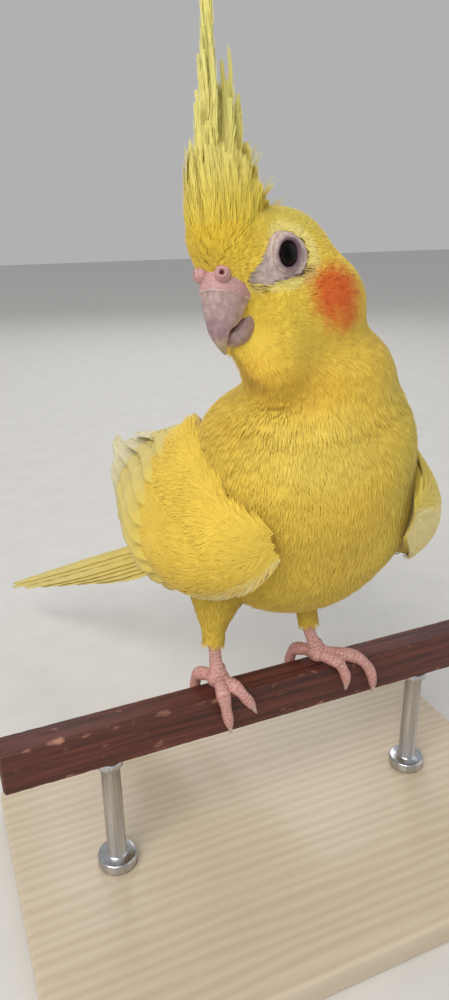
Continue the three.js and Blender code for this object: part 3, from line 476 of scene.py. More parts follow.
def to_head(points):
    """Points of the bird's frame in the head's own: ahead, to its left and up from midway between the eyes."""
    return (points - HEAD_AT) @ HEAD_AXES.T


def from_head(points):
    """Points of the head's own frame in the bird's."""
    return np.asarray(points, float) @ HEAD_AXES + HEAD_AT


def flesh(points):
    """How far points are outside the blended flesh, and which way its surface looks there: each ellipsoid gives a
    distance, and the blend is the soft least of them. It is pinched in at each corner of the bill."""
    total, facing = 0, 0
    head = to_head(points)
    off_gape = np.linalg.norm((mirrored(head) - GAPE_AT) / GAPE_SIZE, axis=-1)
    for masses, q, axes in ((BODY_MASSES, points, np.eye(3)), (HEAD_MASSES, head, HEAD_AXES)):
        for mass in masses:
            s = (q - mass[:3]) / mass[3:]
            slope = s / mass[3:]
            reach, steep = np.linalg.norm(s, axis=-1), np.maximum(np.linalg.norm(slope, axis=-1), 1e-9)
            weight = np.exp(np.minimum(-reach * (reach - 1) / steep / BLEND, 60))
            total = total + weight
            facing = facing + (weight / steep)[..., None] * slope @ axes
    return GAPE_DEEP * np.exp(-off_gape**3) - BLEND * np.log(np.maximum(total, 1e-30)), unit(facing)


def spine(u):
    """The middle of the flesh's section at u, the way that the section faces, and the way to its front."""
    u = np.asarray(u, float)
    trunk = glide(TRUNK_SECTIONS, np.minimum(u, TRUNK_END))
    low_middle, low_way = trunk[..., :3], unit(trunk[..., 3:])
    low_front = FRONTWARD - low_way * (low_way @ FRONTWARD)[..., None]
    rise = np.interp(u, [NECK_END, SPINE_END], [HEAD_BOTTOM, crown_height])
    on_head = np.stack([np.full_like(rise, -SECTION_BACK), np.zeros_like(rise), rise], -1)
    t = np.clip(u - TRUNK_END, 0, 1)[..., None]
    way = unit(low_way * (1 - t) + HEAD_AXES[2] * t)
    front = unit(low_front) * (1 - t) + HEAD_AXES[0] * t
    return low_middle * (1 - t) + from_head(on_head) * t, way, square_to(front, way)


def coat_depth(u):
    """How deep the coat is: less on the head than on the body."""
    return mix(COAT_ON_BODY, COAT_ON_HEAD, ease((u - 5.6) / 1.6))


heights = np.linspace(0, HEAD_HIGHEST, 400)
axis_out, _ = flesh(from_head(np.stack([np.full(400, -SECTION_BACK), np.zeros(400), heights], -1)))
crown_height, skin_height = (float(np.interp(at, axis_out, heights)) for at in (0, -COAT_ON_HEAD))
SKIN_END = NECK_END + (skin_height - HEAD_BOTTOM) / (crown_height - HEAD_BOTTOM)


def flesh_surface(u, v, depth):
    """Where the ray at turn v (0 to 1, from the front) from the section at u meets the flesh, drawn in by depth."""
    middle, way, front = spine(u)
    side = np.cross(way, front)
    ray = front * np.cos(2 * np.pi * v)[..., None] + side * np.sin(2 * np.pi * v)[..., None]
    near, far = np.zeros(np.shape(v)), np.full(np.shape(v), float(FARTHEST))
    for _ in range(18):
        half = (near + far) / 2
        inside = flesh(middle + ray * half[..., None])[0] < -depth
        near, far = np.where(inside, half, near), np.where(inside, far, half)
    return middle + ray * near[..., None]


def eye_axes(side):
    """An eye's middle in the head's frame, the way that it looks, and the ways ahead and up in its ring's plane."""
    out = np.array([np.sin(EYE_AHEAD), side * np.cos(EYE_AHEAD), 0])
    forward = np.array([np.cos(EYE_AHEAD), -side * np.sin(EYE_AHEAD), 0])
    return np.array([0, side * EYE_SIDE, 0]), out, forward, np.array([0, 0, 1.0])


def turn_from(turn, start):
    """How far an angle is from another, from minus half a turn to half a turn."""
    return np.angle(np.exp(1j * (turn - start)))


def ring_outline(turn):
    """How far the bare skin reaches from the eye's axis, by turn from straight ahead: round, with a point drawn
    out ahead and down and a slighter one behind."""
    from_lore = turn_from(turn, LORE_TURN) / LORE_SPREAD
    return RING_REACH + LORE_REACH * np.exp(-np.abs(from_lore) ** 1.4 * 1.6) + (
        BACK_REACH * hump(turn_from(turn, np.pi), 0, BACK_SPREAD))


def off_eye_ring(q):
    """How far points of the head's frame are outside the nearer ring of bare skin, measured from the eye's axis. All
    points near the head's middle count as far outside it."""
    middle, _, forward, up = eye_axes(1)
    away = mirrored(q) - middle
    reach_ahead, reach_up = away @ forward, away @ up
    off = np.hypot(reach_ahead, reach_up) - ring_outline(np.arctan2(reach_up, reach_ahead))
    return np.where(np.abs(q[..., 1]) > MIDLINE_CLEAR, off, FAR_OFF)


def plumage_colour(points):
    """The colour of the coat at a point: lemon face, orange cheeks, golden throat and breast, paler back. The left
    flank is painted duller and greener, and the lower belly darker, as painted shade. Each marking is a soft patch
    about its own centre, in the bird's frame or in the head's."""
    head = to_head(points)
    x, y, z = points[..., 0], points[..., 1], points[..., 2]

    def patch(q, centre, size):
        return ease(1.5 - np.linalg.norm((q - np.array(centre)) / np.array(size), axis=-1))

    ragged = mirrored(head) + 0.9 * np.stack([drift(points, 1.1, seed) for seed in (2, 4, 6)], -1)
    colour = np.broadcast_to(linear(GOLD), points.shape)
    for rgb, strength, amount in (
            (LEMON, 0.8, ease((y - 8) / 26)),
            # The bird's left flank, away from the main window, is painted duller and greener: painted shade.
            (FLANK_PAINTED_SHADE, 0.7, ease((x - 12) / 16) * ease((z - 24) / 20)),
            # The lower belly, facing down, is painted darker: painted shade.
            (LOWER_BELLY_PAINTED_SHADE, 0.8, ease((42 - z) / 18)),
            (LEMON, 0.7, patch(points, [1, -18, 74], [13, 12, 9])),
            (FACE_LEMON, 1, ease((head[..., 2] + 18) / 10)),
            (ORANGE_GOLD, 0.4, patch(points, [-6, -16, 87], [13, 10, 5])),
            (FOREHEAD_GOLD, 0.7, patch(head, [12, 0, 5], [5, 7, 5.5])),
            (ORANGE_GOLD, 0.4, patch(head, [8, 0, -19], [5, 6, 4])),
            (CROWN_LEMON, 0.7, patch(head, [-6, 0, 7], [9, 12, 5])),
            (RING_LEMON, 0.6, ease(1.3 - off_eye_ring(head) / 1.6)),
            (CHEEK, 0.92, ease(0.5 + 1.8 * (1 - np.linalg.norm((ragged - CHEEK_AT) / CHEEK_SIZE, axis=-1))))):
        colour = mix(colour, linear(rgb), strength * amount[..., None])
    cloud = drift(points, 9, 1) * 0.07 + drift(points, 3.5, 8) * 0.04
    return np.clip(colour * (1 + cloud[..., None]), 0, 1)


def add_tint(tree, shader, tone):
    """The mesh's own tint, darkened by a tone, into the shader's base colour."""
    paint(tree, shader, add_mix(tree, 1.0, add_value(tree, "tint", "Color"), tone, "MULTIPLY"))


def add_closed(name, points, faces, material, slot, replaces=(), **more):
    """A closed piece of the bird, lifted on to the perch and welded at its ends."""
    weld(add_piece(name, points + lift, faces, material, slot, replaces, **more))


plumage, shader, tree = new_material("body_plumage", rough=0.8, Specular_IOR_Level=0.2, **SHEEN)
add_tint(tree, shader, add_ramp(tree, add_noise(tree, 2600, 3), [(0.25, STREAK_GREY), (0.75, WHITE)]))
lift = np.array([0, 0, PERCH_TOP])
on_crown = np.sin(np.linspace(0, np.pi / 2, SKIN_RINGS // 4)) * (SKIN_END - NECK_END - 0.001)
skin_u = np.concatenate([np.linspace(SKIN_START, NECK_END, SKIN_RINGS * 3 // 4, endpoint=False), NECK_END + on_crown])
grid_u, grid_v = np.meshgrid(skin_u, np.linspace(0, 1, SKIN_COLUMNS, endpoint=False), indexing="ij")
points, faces = closed_tube(flesh_surface(grid_u, grid_v, coat_depth(grid_u)))
# The skin's colour is the coat's, darkened by a tenth as painted shade under the feathers.
add_closed("skin", points, faces, plumage, "yellow_plumage", ["head", "neck", "torso", "thigh_left", "thigh_right"],
           colour=plumage_colour(points) * UNDERCOAT_PAINTED_SHADE)

# Thighs: short feathered sleeves from the belly down to the top of each shank, of the same skin. Each is a tube
# round a bent line, and narrows to a cuff.
THIGHS = {
    "left": ([[10.5, 9, 34], [10.2, 5, 25], [10.2, 2.4, 19], [10.4, 1.5, 15.6]], [9, 6.5, 4.4, 2.9]),
    "right": ([[-11, 9, 34], [-14.5, 5.5, 26], [-16.3, 3.6, 20], [-16.9, 2.9, 15.6]], [11.5, 9.5, 6, 3.1]),
}
THIGH_STEPS, THIGH_SIDES, THIGH_COAT = 50, 60, 1.1


def glide_through(rows, steps):
    """So many steps that run smoothly through rows of numbers, from the first to the last."""
    return glide(rows, np.linspace(0, len(rows) - 1, steps))


def gone_along(line):
    """How far each point of a line is along it."""
    return np.concatenate([[0], np.cumsum(np.linalg.norm(np.diff(line, axis=0), axis=1))])


def even_line(rows, steps):
    """A smooth line through rows of points, at even steps of its length."""
    dense = glide_through(rows, 60 * len(rows))
    gone = gone_along(dense)
    at = np.linspace(0, gone[-1], steps)
    return np.stack([np.interp(at, gone, dense[:, k]) for k in range(3)], 1)


def tube_frames(centre):
    """For a line of points: the way it runs, the normal of the plane it bends in, and the way square to both."""
    way = unit(np.gradient(centre, axis=0))
    plane = np.linalg.svd(centre - centre.mean(0))[2][2]
    side = unit(plane - way * (way @ plane)[:, None])
    return way, side, np.cross(way, side)


def tube(rows, radii, steps, sides):
    """Rings of points round a smooth line through rows, its radius running smoothly through the radii."""
    centre = even_line(rows, steps)
    _, side, up = tube_frames(centre)
    radius = glide_through(np.array(radii)[:, None], steps)
    turn = full_turn(sides)[:, None]
    return centre[:, None] + radius[:, None] * (side[:, None] * np.cos(turn) + up[:, None] * np.sin(turn))


for name, (rows, radii) in THIGHS.items():
    points, faces = closed_tube(tube(rows, np.array(radii) - THIGH_COAT, THIGH_STEPS, THIGH_SIDES))
    # The sleeve's colour is the coat's, darkened as painted shade under the feathers.
    add_closed("thigh_sleeve_" + name, points, faces, plumage, "yellow_plumage",
               colour=plumage_colour(points) * UNDERCOAT_PAINTED_SHADE)

# Eyes: near-black glossy balls, each with a dark brown iris that hardly shows. They look sideways and a little
# ahead.
SIDES = (("left", 1), ("right", -1))
EYE_RADIUS, EYE_STEPS = 3.4, 48
EYE_SHADES = [(0.5, (5, 4, 4)), (0.62, (20, 12, 11)), (0.8, (24, 14, 13)), (0.9, (8, 6, 6))]


def ball(centre, pole, radius, steps):
    """Rings of points on a ball, from the pole that looks along a given way to the one behind."""
    pole = unit(np.array(pole, float))
    side = unit(np.cross(pole, [0.3, 0.1, 1]))
    drop = np.linspace(0.01, np.pi - 0.01, steps)[:, None, None]
    turn = full_turn(2 * steps)[None, :, None]
    out = pole * np.cos(drop) + (side * np.cos(turn) + np.cross(pole, side) * np.sin(turn)) * np.sin(drop)
    return np.asarray(centre) + out * radius


glassy, shader, tree = new_material("dark_eye", rough=0.06, IOR=1.4, Specular_IOR_Level=0.14)
fibrous = add_math(tree, "MULTIPLY_ADD", add_noise(tree, 4000, 2), 0.12, add_value(tree, "off_axis"))
paint(tree, shader, add_ramp(tree, fibrous, EYE_SHADES))
for name, side in SIDES:
    middle, out, _, _ = eye_axes(side)
    rings = ball(middle, out, EYE_RADIUS, EYE_STEPS)
    away = rings - middle
    radial = np.linalg.norm(away - (away @ out)[..., None] * out, axis=-1)
    off_axis = np.where(away @ out > 0, radial / EYE_RADIUS, 1)
    points, faces = closed_tube(rings)
    off_axis = np.concatenate([np.zeros(rings.shape[1]), off_axis.ravel(), np.ones(rings.shape[1])])
    add_closed("eye_ball_" + name, from_head(points), faces, glassy, "eye", ["eye_" + name],
               values={"off_axis": off_axis})

# Eye rings: bare greyish-pink skin round each eye, its lids thick and smooth at the opening, finely folded in rings
# outside that, and drawn out in a point ahead and down towards the bill. The troughs of the folds and a thin line
# behind the eye are painted darker as shade. Dark bristles lie along its lower edge.
RING_STEPS, RING_SIDES, FOLD_SPACING, FOLD_HEIGHT = 60, 240, 0.42, 0.035
LID_PROFILE = np.array([[2.45, 1.7], [2.55, 2.45], [2.7, 2.72], [2.95, 2.88], [3.3, 2.86], [3.7, 2.6], [4.1, 2.15]])
LID_GREY, RING_PINK, RING_FOLD_PAINTED_SHADE, MOTTLE_GREY = (132, 108, 116), (212, 194, 186), (156, 130, 128), (205, 196, 196)
RING_TUCK, RING_SUNK = 1.4, 0.25
LID_END, LID_BLEND, FOLDS_FROM, GREY_UP_TO = 3.7, 1.1, 3.1, 2.9


def add_grains(tree, scale):
    """The socket of the distance from the middle of each of many small cells, so many to the metre."""
    return add_node(tree, "ShaderNodeTexVoronoi", Scale=scale, Vector=add_place(tree)).outputs["Distance"]


bare_ring, shader, tree = new_material("bare_eye_skin", rough=0.5, Specular_IOR_Level=0.4)
add_tint(tree, shader, add_ramp(tree, add_noise(tree, 900, 5), [(0.3, MOTTLE_GREY), (0.7, WHITE)]))
add_bump(tree, shader, add_grains(tree, 3200), 0.35, 0.00012)
for name, side in SIDES:
    middle, out, forward, up = eye_axes(side)
    turn = full_turn(RING_SIDES)
    reach = ring_outline(turn)[None]
    inner = LID_PROFILE[0, 0]
    radius = inner + (reach + RING_TUCK - inner) * np.linspace(0, 1, RING_STEPS)[:, None]
    plane = middle + radius[..., None] * (np.cos(turn)[:, None] * forward + np.sin(turn)[:, None] * up)
    outside = plane + 1.2 * out
    for _ in range(5):
        outside = outside - out * (flesh(from_head(outside))[0] + RING_SUNK)[..., None] * 0.9
    flat = (outside - plane) @ out
    lid = np.interp(radius, LID_PROFILE[:, 0], LID_PROFILE[:, 1])
    blend = ease((radius - LID_END) / LID_BLEND)
    height = lid * (1 - blend) + flat * blend
    wobble = 0.5 * np.sin(turn * 3 + side) + 0.35 * np.sin(turn * 7 + 2) + drift(plane, 1.6, 21)
    fold = np.cos(2 * np.pi * radius / FOLD_SPACING + 1.1 * wobble)
    folded = ease((radius - FOLDS_FROM) / 0.5) * ease((reach - radius) / 0.5 + 0.3)
    height = height + FOLD_HEIGHT * fold * folded - 0.9 * ease((radius - reach) / RING_TUCK)
    rings = plane + height[..., None] * out
    colour = mix(linear(RING_PINK), linear(LID_GREY), 1 - ease((radius - GREY_UP_TO) / 0.8)[..., None])
    # The troughs of the folds are painted darker: painted shade in the creases.
    colour = mix(colour, linear(RING_FOLD_PAINTED_SHADE), 0.5 * (np.clip(-fold, 0, 1) * folded)[..., None])
    # A thin dark line across the skin behind the eye: painted shade in a fold.
    painted_shade_behind_eye = hump(turn_from(turn, np.pi * 0.96), 0, 0.42) * hump(radius, 4.3, 0.16)
    colour = colour * (1 - 0.85 * painted_shade_behind_eye[..., None])
    faces = wrap(*rings.shape[:2])[:, ::-side]
    add_piece("eye_ring_" + name, from_head(rings.reshape(-1, 3)) + lift, faces, bare_ring, "bare_skin",
              colour=colour.reshape(-1, 3))

# Bill: a short hooked upper half with a notch in each cutting edge, and a lower half that closes inside it, of
# greyish-pink horn that flakes a little, purplish towards the hook and olive at its tip. Along the upper half's
# cutting edge and the lower half's top, where the halves meet, it is painted dark as shade.
UPPER_BEAK_ROWS = [
    [14.4, -3.3, 5.3, -7.8, 4.6], [14.7, -6.6, 7, -9.6, 4.3], [14.8, -10, 9, -11.5, 3.5],
    [14.7, -13.1, 11.7, -12.5, 2.4], [13.8, -15.6, 12.1, -14.8, 1.25], [12.6, -17.4, 12.1, -17.2, 0.3]]
LOWER_BEAK_ROWS = [
    [5, -8.6, 2.8, -11.8, 3.7], [7.2, -10.2, 4.8, -14.8, 3.8], [9.2, -11.8, 7, -16.6, 3.4],
    [11.2, -13, 9.6, -16.6, 2.5], [12.2, -13.9, 11.4, -15.6, 1]]
BILL_RINGS, BILL_SIDES = 110, 112
HORN_PINK, HORN_PURPLE, HORN_TIP, BILL_SEAM_PAINTED_SHADE = (200, 174, 168), (160, 130, 134), (184, 168, 134), (66, 46, 44)
FLAKE_GREY, GLOW_DEPTH_M = (212, 204, 204), 0.001


def bill_rings(rows, square, front_square, count=BILL_RINGS):
    """Sections of the bill: an ellipse from its front point to its back one, made squarer in front or behind."""
    u = np.linspace(0, len(rows) - 1, count)
    row = glide(rows, u)
    front = np.stack([row[:, 0], 0 * u, row[:, 1]], 1)
    back = np.stack([row[:, 2], 0 * u, row[:, 3]], 1)
    turn = full_turn(BILL_SIDES)[None, :, None]
    lean = np.sign(np.cos(turn)) * np.abs(np.cos(turn)) ** np.where(np.cos(turn) < 0, square, front_square)
    rings = (front + back)[:, None] / 2 + (front - back)[:, None] / 2 * lean
    return rings + np.array([0, 1, 0]) * row[:, None, 4:5] * np.sin(turn), np.cos(turn[..., 0]), u


def swell(rings, amount):
    """Rings of points pushed outwards, each point by its own amount."""
    return rings + unit(rings - rings.mean(1, keepdims=True)) * amount[..., None]


def with_ends(grid):
    """Values at a tube's rings made to go with closed_tube's points: those of the end rings are repeated."""
    return np.concatenate([grid[:1], grid, grid[-1:]]).reshape(-1, *grid.shape[2:])


def add_tinted(name, rings, colour, material, slot, replaces=()):
    """Rings of points and their colours as one closed piece of the bird."""
    points, faces = closed_tube(rings)
    add_closed(name, points, faces, material, slot, replaces, colour=with_ends(colour))


horn, shader, tree = new_material("bill_horn", rough=0.36, Coat_Weight=0.15, Coat_Roughness=0.3,
                                  Subsurface_Weight=0.08, Subsurface_Scale=GLOW_DEPTH_M)
flakes = add_noise(tree, 900, 6, (1, 1, 0.75))
add_tint(tree, shader, add_ramp(tree, flakes, [(0.32, FLAKE_GREY), (0.66, WHITE)]))
add_bump(tree, shader, flakes, 0.3, 0.0002)

rings, frontness, u = bill_rings(UPPER_BEAK_ROWS, 0.5, 1)
notch = 0.25 * hump(u, 2.3, 0.4) - 0.35 * hump(u, 3.1, 0.22)
rings[..., 2] -= hump(frontness, -0.8, 0.22) * notch[:, None]
rings = swell(rings, 0.05 * drift(rings * [1, 1, 0.7], 1.2, 31))
z = rings[..., 2] + 0.8 * drift(rings, 2.5, 33)
bruise = hump(z, -12, 2.4) * ease((frontness + 0.2) / 0.8)
colour = mix(linear(HORN_PINK), linear(HORN_PURPLE), (0.25 + 0.75 * bruise)[..., None])
colour = mix(colour, linear(HORN_TIP), ease((-12.6 - z) / 2.6)[..., None])
# The upper half's cutting edge is painted dark: painted shade where it closes over the lower half.
colour = mix(colour, linear(BILL_SEAM_PAINTED_SHADE), 0.75 * ease((-frontness - 0.8) / 0.15)[..., None])
add_tinted("upper_bill", from_head(rings), colour, horn, "horn", ["beak_upper"])

rings, frontness, u = bill_rings(LOWER_BEAK_ROWS, 1, 0.5)
rings = swell(rings, 0.06 * drift(rings, 0.8, 35))
purple = 0.5 * ease((drift(rings, 3, 36) + 1) / 2)[..., None]
colour = linear(HORN_PINK) * 0.92 + (linear(HORN_PURPLE) - linear(HORN_PINK)) * purple
# The lower half's top, inside the upper half, is painted dark: painted shade between the halves.
colour = mix(colour, linear(BILL_SEAM_PAINTED_SHADE), 0.8 * ease((frontness - 0.75) / 0.2)[..., None])
add_tinted("lower_bill", from_head(rings), colour, horn, "horn", ["beak_lower"])

# Cere: a band of bare granular pink skin over the bill's base, swollen round each nostril, whitish where it meets
# the horn. The hollow of each nostril is painted dark red: red skin, darkened as painted shade in the hole.
CERE_ROWS = [[7.2, 4.1, 0.4, -5, 4.65], [11.2, 1, 2.2, -6.2, 5.05], [13.25, -1.2, 3.4, -7.2, 5.05],
             [14.55, -3.2, 4.8, -7.95, 4.9], [14.65, -3.9, 5.2, -8.4, 4.7]]
NOSTRIL_AT, NOSTRIL_OUT, NOSTRIL_MOUND, NOSTRIL_HOLE = (12.4, 2.8, -1.2), (0.8, 0.6, 0.3), 1.68, 0.36
CERE_PINK, NOSTRIL_RED_AND_PAINTED_SHADE, CERE_PALE, CERE_GREY = (206, 166, 164), (112, 40, 40), (230, 216, 210), (222, 208, 208)
NOSTRIL_STEPS, NOSTRIL_SUNK, NOSTRIL_RIM = 60, 0.62, 0.12


def add_grained_skin(name, scale, stops, rise):
    """Bare skin of the mesh's own tint, raised in fine grains, with stops of tone from their tops to their edges."""
    material, shader, tree = new_material(name, rough=0.55, Subsurface_Weight=0.1, Subsurface_Scale=GLOW_DEPTH_M)
    grains = add_grains(tree, scale)
    add_tint(tree, shader, add_ramp(tree, grains, stops))
    add_bump(tree, shader, add_math(tree, "SUBTRACT", 1.0, grains), 0.4, rise)
    return material


cere_skin = add_grained_skin("cere_skin", 3600, [(0.1, WHITE), (0.75, CERE_GREY)], 0.0001)
rings, _, u = bill_rings(CERE_ROWS, 0.5, 1, 90)
rings = swell(rings, 0.06 * drift(rings, 1.1, 41) + 0.03 * drift(rings, 0.5, 42))
pale = ease((u[:, None] - 3.3 + 0.5 * drift(rings, 1.3, 43)) / 0.35)
colour = mix(linear(CERE_PINK), linear(CERE_PALE), 0.8 * pale[..., None])
add_tinted("cere_band", from_head(rings), colour, cere_skin, "bare_skin", ["cere"])
for name, side in SIDES:
    rings = ball([0, 0, 0], np.array(NOSTRIL_OUT) * [1, side, 1], 1, NOSTRIL_STEPS)
    drop = np.linspace(0, np.pi, NOSTRIL_STEPS)[:, None]
    reach = NOSTRIL_MOUND * (1 - NOSTRIL_SUNK * (1 - ease((drop - 0.1) / NOSTRIL_HOLE)))
    reach = reach + NOSTRIL_RIM * hump(drop, 0.56, 0.14)
    reach = reach + 0.05 * drift(rings * 2, 0.5, 44) * ease((drop - 0.4) / 0.3)
    rings = rings * reach[..., None] + np.array(NOSTRIL_AT) * [1, side, 1]
    # The nostril's hollow is dark red: its reddish skin, darkened as painted shade in the hole.
    colour = mix(linear(NOSTRIL_RED_AND_PAINTED_SHADE), linear(CERE_PINK), ease((drop - 0.2) / 0.3)[..., None])
    add_tinted("nostril_" + name, from_head(rings), np.broadcast_to(colour, rings.shape), cere_skin, "bare_skin")

# Feet: a bare shank and four toes each, two ahead of the perch and two behind, of pink scaled skin: broad scutes in
# a row along the top of each toe, fine grains on its sides and below. The grooves between the scutes and the low
# spots of the grains are painted darker as shade.
SHANK_RADII, TOE_RADII = [2.1, 1.7, 1.75, 2.5], [2, 1.75, 1.9, 1.45, 1.5, 1.05]
FEET = {
    "left": {
        "shank": [[10.4, 1.6, 16], [10.7, 0.9, 11.5], [11.8, 0.2, 7.5], [13.2, -0.4, 3.8]],
        "toes": [
            [[13, -0.4, 3.4], [17.5, -3, 3.6], [22.5, -5.4, 2.5], [26, -6.4, -1], [27.6, -6.5, -4.6], [28.3, -6.4, -8]],
            [[13, -0.4, 3.2], [14.6, -3, 3.2], [16.8, -5.4, 2.2], [18.2, -6.4, -0.4], [19, -6.4, -2.8],
             [19.3, -6.3, -4.8]],
            [[13, 0.4, 3.2], [10.8, 3, 3.2], [9, 5.4, 2.2], [8.2, 6.4, -0.6], [7.9, 6.4, -3], [7.7, 6.3, -5]],
            [[13.4, 0.4, 3.2], [15, 3, 3.2], [16, 5.4, 2.2], [16.4, 6.4, -1], [16.6, 6.5, -4], [16.6, 6.3, -6.8]]]},
    "right": {
        "shank": [[-16.9, 3, 16], [-17, 2.2, 11.5], [-17.2, 1, 7.5], [-17.2, -0.2, 3.8]],
        "toes": [
            [[-17.2, -0.4, 3.4], [-17.7, -3.1, 3.4], [-18, -5.5, 2.2], [-17.7, -6.4, -1], [-17.2, -6.5, -4.4],
             [-16.6, -6.5, -7.8]],
            [[-17, -0.4, 3.2], [-15.4, -3.1, 3.2], [-13.8, -5.4, 2.3], [-12.3, -6.5, 0.3], [-11, -7, -1.6],
             [-10.2, -7.2, -3.2]],
            [[-17.4, 0.4, 3.2], [-19, 3, 3.2], [-20.6, 5.4, 2.2], [-21.2, 6.4, -0.6], [-21.4, 6.4, -3],
             [-21.5, 6.3, -5]],
            [[-17, 0.4, 3.2], [-15.6, 3, 3.2], [-14.6, 5.4, 2.2], [-14.2, 6.4, -1], [-14, 6.5, -4], [-14, 6.3, -6.8]]]}}
FOOT_VOXEL, SCUTE_LENGTH, SCUTE_HEIGHT, GRAIN_HEIGHT = 0.24, 1.0, 0.1, 0.045
FOOT_PINK, FOOT_PALE, FOOT_CREASE_SHADE, FOOT_GREY = (210, 160, 151), (226, 190, 180), (176, 120, 114), (218, 198, 196)
TOE_STEPS, TOE_SIDES, HEEL_SIZE, HEEL_STEPS = 70, 32, np.array([3.1, 2.9, 2.6]), 20
MELT_CALM, MELT_ROUNDS = 0.5, 8

foot_skin = add_grained_skin("foot_skin", 2000, [(0.15, WHITE), (0.7, FOOT_GREY)], 0.00012)


def join(tubes):
    """The points and the faces of several surfaces as those of one."""
    starts = np.cumsum([0] + [len(points) for points, _ in tubes])
    return (np.concatenate([points for points, _ in tubes]),
            np.concatenate([faces + start for (_, faces), start in zip(tubes, starts)]))


def fused(tubes):
    """Closed tubes melted into one skin, as points, quads and the way that each point faces."""
    rough = weld(make_mesh("foot", *join(tubes), foot_skin))
    melt = rough.modifiers.new("melt", "REMESH")
    melt.mode, melt.voxel_size = "VOXEL", FOOT_VOXEL * MM
    calm = rough.modifiers.new("calm", "SMOOTH")
    calm.factor, calm.iterations = MELT_CALM, MELT_ROUNDS
    whole = bpy.data.meshes.new_from_object(rough.evaluated_get(bpy.context.evaluated_depsgraph_get()))
    made, facing = np.zeros((2, len(whole.vertices) * 3), np.float32)
    corners = np.zeros(len(whole.loops), np.int32)
    whole.vertices.foreach_get("co", made)
    whole.vertices.foreach_get("normal", facing)
    whole.loops.foreach_get("vertex_index", corners)
    bpy.data.objects.remove(rough)
    return made.reshape(-1, 3).astype(float) / MM, corners.reshape(-1, 4), facing.reshape(-1, 3).astype(float)


for name, foot in FEET.items():
    lines = [(foot["shank"], SHANK_RADII)] + [(toe, TOE_RADII) for toe in foot["toes"]]
    heel = ball(np.array(foot["shank"][-1]) + [0, 0, -0.2], [0, 0, 1], 1, HEEL_STEPS)
    middle = heel.mean((0, 1))
    tubes = [closed_tube(tube(rows, radii, TOE_STEPS, TOE_SIDES)) for rows, radii in lines]
    points, faces, facing = fused(tubes + [closed_tube(middle + (heel - middle) * HEEL_SIZE)])
    nearest = np.full(len(points), 1e9)
    gone, upper = np.zeros(len(points)), np.zeros(len(points))
    for k, (rows, _) in enumerate(lines):
        centre = even_line(rows, 160)
        step = np.linalg.norm(centre[1] - centre[0])
        off = ((points[:, None] - centre[None, ::2]) ** 2).sum(-1)
        best = off.argmin(1)
        closer = off.min(1) < nearest
        way = tube_frames(centre)[0][::2][best]
        outward = np.array([0, -1.0, 0] if k == 0 else [0, np.sign(rows[-1][1]), 1])
        over = unit(outward - way * (way @ outward)[:, None])
        away = unit(points - centre[::2][best])
        nearest = np.where(closer, off.min(1), nearest)
        gone = np.where(closer, best * 2 * step, gone)
        upper = np.where(closer, ease(((away * over).sum(-1) - 0.15) / 0.5), upper)
    phase = (gone / SCUTE_LENGTH + 0.06 * drift(points, 1.5, 51)) % 1
    scute = 1 - np.abs(2 * phase - 1) ** 6
    grain = drift(points, 0.75, 52)
    points = points + facing * (SCUTE_HEIGHT * (scute - 0.6) * upper + GRAIN_HEIGHT * grain * (1 - upper))[:, None]
    # The grooves between scutes and the low spots of the grains are painted darker: painted shade in the creases.
    painted_crease_shade = np.clip((1 - scute) * upper + np.clip(-grain, 0, 1) * (1 - upper) * 0.6, 0, 1)
    colour = mix(linear(FOOT_PINK), linear(FOOT_PALE), (0.5 * upper * scute)[:, None])
    colour = mix(colour, linear(FOOT_CREASE_SHADE), (0.7 * painted_crease_shade)[:, None])
    colour = colour * (1 + 0.12 * drift(points, 3, 53))[:, None]
    add_piece("foot_skin_" + name, points + lift, faces, foot_skin, "bare_skin", ["foot_" + name], colour=colour)

# Claws: curved, tapered horn, pale at the toe and darker towards the point. Each starts inside the end of its toe
# and bends on round the perch.
CLAW_LENGTH, CLAW_RADIUS, CLAW_CURL, CLAW_RINGS, CLAW_SIDES, CLAW_SUNK = 4.6, 0.95, np.radians(43), 40, 28, 0.5
CLAW_PALE, CLAW_DARK, CLAW_FLAT = (216, 194, 182), (168, 140, 126), 0.8

for foot_name, foot in FEET.items():
    for k, toe in enumerate(np.array(foot["toes"], float)):
        way = unit(toe[-1] - toe[-2])
        axis = unit(np.cross(way, [0, -np.sign(toe[-1][1]), 0]))
        s = np.linspace(0, 1, CLAW_RINGS)[:, None]
        bend = CLAW_CURL * s
        heading = way * np.cos(bend) + np.cross(axis, way) * np.sin(bend)
        step = CLAW_LENGTH / (CLAW_RINGS - 1)
        centre = toe[-1] - way * CLAW_SUNK + np.concatenate([np.zeros((1, 3)), np.cumsum(heading[:-1] * step, 0)])
        radius = CLAW_RADIUS * (1 - 0.94 * s) ** 0.8
        turn = full_turn(CLAW_SIDES)[None, :, None]
        across, deep = CLAW_FLAT * axis * np.cos(turn), np.cross(axis, heading)[:, None] * np.sin(turn)
        rings = centre[:, None] + radius[:, None] * (across + deep)
        colour = np.broadcast_to(mix(linear(CLAW_PALE), linear(CLAW_DARK), s**1.5)[:, None], rings.shape)
        label = foot_name + "_" + str(k + 1)
        add_tinted("claw_horn_" + label, rings, colour, horn, "horn", ["claw_" + label])

